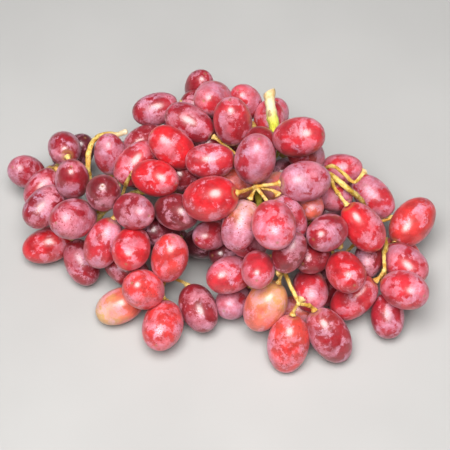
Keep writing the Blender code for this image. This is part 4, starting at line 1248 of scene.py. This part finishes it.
def grape_skin():
    """Red skin under a lilac bloom that is rubbed off in feathered patches, with specks and end scars."""
    m = Maker("grape_skin")
    place_on = m.attribute("place")
    flesh = m.attribute("flesh", "Color")
    bloom_much, unripe, speckle = m.split(m.attribute("habit"))
    scar, collar, along = m.split(m.attribute("ends"))

    # Flesh under the skin
    tone = m.band(m.noise(place_on, 0.16, 3.0, 0.55), 0.3, 0.7, 0.72, 1.22)
    tone_colour = m.node("ShaderNodeCombineColor", {0: tone, 1: tone, 2: tone}).outputs[0]
    red = m.mix(1.0, flesh, tone_colour, "MULTIPLY")
    wander = m.times(m.math("SUBTRACT", m.noise(place_on, 0.22, 3.0), 0.5), 1.6)
    green_side = m.band(m.plus(along, wander), -0.95, 0.35, 1.0, 0.0)
    red = m.mix(m.times(green_side, unripe), red, UNRIPE_FLESH)
    veins = m.band(m.noise(m.stretch(place_on, (0.9, 0.9, 0.16)), 1.0, 3.0, 0.6, 0.6), 0.56, 0.72, 0.0, 0.35)
    red = m.mix(veins, red, m.mix(1.0, red, (0.55, 0.5, 0.5, 1.0), "MULTIPLY"))
    dots = m.band(m.cells(place_on, 0.42), 0.05, 0.085, 0.5, 0.0)
    red = m.mix(dots, red, DOT_COLOUR)

    # Bloom and where it is rubbed off
    patch = m.noise(place_on, 0.125, 5.0, 0.60, 0.4)
    feather = m.noise(place_on, 0.9, 4.0, 0.6, 0.3)
    streak = m.noise(m.stretch(place_on, (0.34, 0.34, 0.07)), 1.0, 3.0, 0.6, 0.3)
    fine = m.noise(place_on, 2.2, 4.0, 0.7, 0.3)
    value = patch
    for part, weight in ((feather, 0.16), (streak, 0.22), (fine, 0.22), (bloom_much, 0.34)):
        value = m.plus(value, m.times(m.math("SUBTRACT", part, 0.5), weight))
    crisp = m.band(value, 0.48, 0.512, 0.0, 0.72)
    cover = m.plus(crisp, m.band(value, 0.40, 0.58, 0.0, 0.28))
    pits = m.band(m.cells(place_on, 0.72), 0.20, 0.28, 1.0, 0.0)
    chosen = m.band(m.noise(place_on, 0.22, 2.0), 0.40, 0.50)
    pits = m.times(pits, m.times(chosen, speckle))
    red = m.mix(m.times(pits, 0.6), red, PIT_RED)
    cover = m.times(cover, m.math("SUBTRACT", 1.0, pits))
    wisps = m.noise(m.stretch(place_on, (0.5, 0.5, 1.3)), 1.0, 4.0, 0.65, 0.8)
    thick = m.band(m.noise(place_on, 0.2, 3.0, 0.6), 0.3, 0.7, 0.22, 0.62)
    thick = m.times(thick, m.band(wisps, 0.3, 0.7, 0.65, 1.2))
    film = m.band(feather, 0.3, 0.75, 0.0, 0.06)
    amount = m.math("MAXIMUM", m.times(cover, thick), film)
    lilac = m.plus(m.noise(place_on, 0.09, 2.0), m.times(bloom_much, 0.45))
    colour = m.mix(amount, red, m.mix(m.band(lilac, 0.62, 0.92), BLOOM_PINK, BLOOM_LILAC))
    colour = m.mix(m.times(scar, 0.85), colour, SCAR_BROWN)
    colour = m.mix(m.times(collar, 0.35), colour, COLLAR_TAN)

    rough = m.plus(m.times(amount, 0.40), 0.30)
    grain = m.noise(place_on, 2.6, 3.0, 0.6)
    height = m.plus(m.times(cover, 0.35), m.times(grain, 0.35))
    m.shader.subsurface_method = "RANDOM_WALK"
    return m.finish(
        Base_Color=colour,
        Roughness=rough,
        Normal=m.bump(height, 0.14, 0.1 * MM),
        Subsurface_Weight=0.12,
        Subsurface_Radius=(1.0, 0.22, 0.16),
        Subsurface_Scale=1.6 * MM,
        Specular_IOR_Level=0.8,
        Coat_Weight=0.05,
        Coat_Roughness=0.22,
        Sheen_Weight=0.08,
        Sheen_Roughness=0.45,
        Sheen_Tint=(0.95, 0.60, 0.72, 1.0),
    )


def stem_skin():
    """Golden yellow to green bark with lengthwise fibres, warts and specks, tan and pale at cut ends, and a
    pale band of painted highlight on the stalk. Gold and pale straw are partly the bark's own tone and
    partly painted light: straw on the raised parts, gold in the low parts.
    """
    m = Maker("stem_skin")
    grain = m.attribute("grain")
    where = m.node("ShaderNodeTexCoord").outputs["Object"]
    length, around, wart = m.split(grain)
    green, tan, cut = m.split(m.attribute("habit"))
    # Gold to pale straw by a noise that also raises the bark below: partly the bark's own tone, partly
    # painted highlight on the rises and painted shade in the hollows
    bark_tone_and_light = m.noise(where, 260.0, 4.0, 0.6)
    colour = m.mix(m.band(bark_tone_and_light, 0.42, 0.58), STEM_GOLD_AND_SHADE, STEM_STRAW_AND_HIGHLIGHT)
    leafy = m.mix(m.band(m.noise(where, 190.0, 3.0), 0.35, 0.65), STEM_LIME, STEM_MOSS)
    colour = m.mix(green, colour, leafy)
    fibre = m.noise(m.stretch(grain, (0.35, 2.4, 0.0)), 1.4, 4.0, 0.6)
    colour = m.mix(m.band(fibre, 0.52, 0.64, 0.0, 0.8), colour, STEM_RUST)
    colour = m.mix(m.times(tan, m.band(fibre, 0.3, 0.6, 0.55, 1.0)), colour, STEM_TAN)
    # Pale cut wood, and on the stalk a pale band of painted highlight
    colour = m.mix(m.times(cut, 0.8), colour, CUT_PALE_AND_HIGHLIGHT)
    warty = m.times(m.band(wart, 0.35, 0.85), m.band(m.noise(where, 420.0, 2.0), 0.38, 0.55))
    warty = m.math("MAXIMUM", warty, m.band(wart, 1.0, 1.3))
    specks = m.band(m.cells(where, 520.0), 0.12, 0.2, 0.7, 0.0)
    specks = m.times(specks, m.band(m.noise(where, 120.0, 2.0), 0.5, 0.6))
    colour = m.mix(m.math("MAXIMUM", m.times(warty, 0.75), specks), colour, WART_BROWN)
    rough = m.band(bark_tone_and_light, 0.3, 0.7, 0.5, 0.28)
    height = m.plus(m.times(fibre, 0.7), m.times(bark_tone_and_light, 0.6))
    return m.finish(
        Base_Color=colour,
        Roughness=rough,
        Normal=m.bump(height, 1.0, 0.45 * MM),
        Specular_IOR_Level=0.7,
        Subsurface_Weight=0.12,
        Subsurface_Radius=(1.0, 0.7, 0.2),
        Subsurface_Scale=1.0 * MM,
    )


def floor_finish():
    """A plain pale matt floor with the faintest mottling."""
    m = Maker("pale_floor")
    where = m.node("ShaderNodeTexCoord").outputs["Object"]
    tone = m.band(m.noise(where, 9.0, 3.0), 0.3, 0.7)
    return m.finish(Base_Color=m.mix(tone, FLOOR_PALE, FLOOR_PALER), Roughness=0.85)


# Floor, light and camera


def make_floor():
    """A wide flat square just under the bunch."""
    mesh = bpy.data.meshes.new("floor")
    side = FLOOR_SIDE / 2
    corners = [(-side, -side, 0), (side, -side, 0), (side, side, 0), (-side, side, 0)]
    mesh.from_pydata(corners, [], [(0, 1, 2, 3)])
    mesh.materials.append(floor_finish())
    floor = put_thing("floor", mesh)


def aim(thing, position, target):
    thing.location = position
    thing.rotation_mode = "QUATERNION"
    thing.rotation_quaternion = (Vector(target) - Vector(position)).to_track_quat("-Z", "Y")


def make_lights():
    """One wide soft lamp overhead, two weaker ones and an even pale sky."""
    for name, position, size, power, colour in LAMPS:
        lamp = bpy.data.lights.new(name, "AREA")
        lamp.shape = "DISK"
        lamp.size = size
        lamp.energy = power
        lamp.color = colour
        aim(put_thing(name, lamp), position, LAMP_TARGET)
    world = bpy.data.worlds.new("studio")
    world.use_nodes = True
    sky = world.node_tree.nodes["Background"]
    sky.inputs["Color"].default_value = SKY_COLOUR
    sky.inputs["Strength"].default_value = SKY_STRENGTH
    bpy.context.scene.world = world
    bpy.context.scene.view_settings.view_transform = "Standard"


def make_camera(shift):
    """The camera that the picture's pixels were read with."""
    camera = bpy.data.cameras.new("camera")
    camera.sensor_width = SENSOR_WIDTH
    camera.lens = SENSOR_WIDTH / (2 * PICTURE_MIDDLE * PIXEL_SLOPE)
    camera.clip_start = 0.01
    camera.clip_end = 20.0
    thing = put_thing("camera", camera)
    aim(thing, EYE + shift, LOOK_AT + shift)
    bpy.context.scene.camera = thing


berries, branch, starts = lay_out_bunch()
shift = middle_shift(berries)
make_berries(berries, branch, shift, grape_skin())
make_stem(berries, starts, shift, stem_skin())
make_floor()
make_lights()
make_camera(shift)
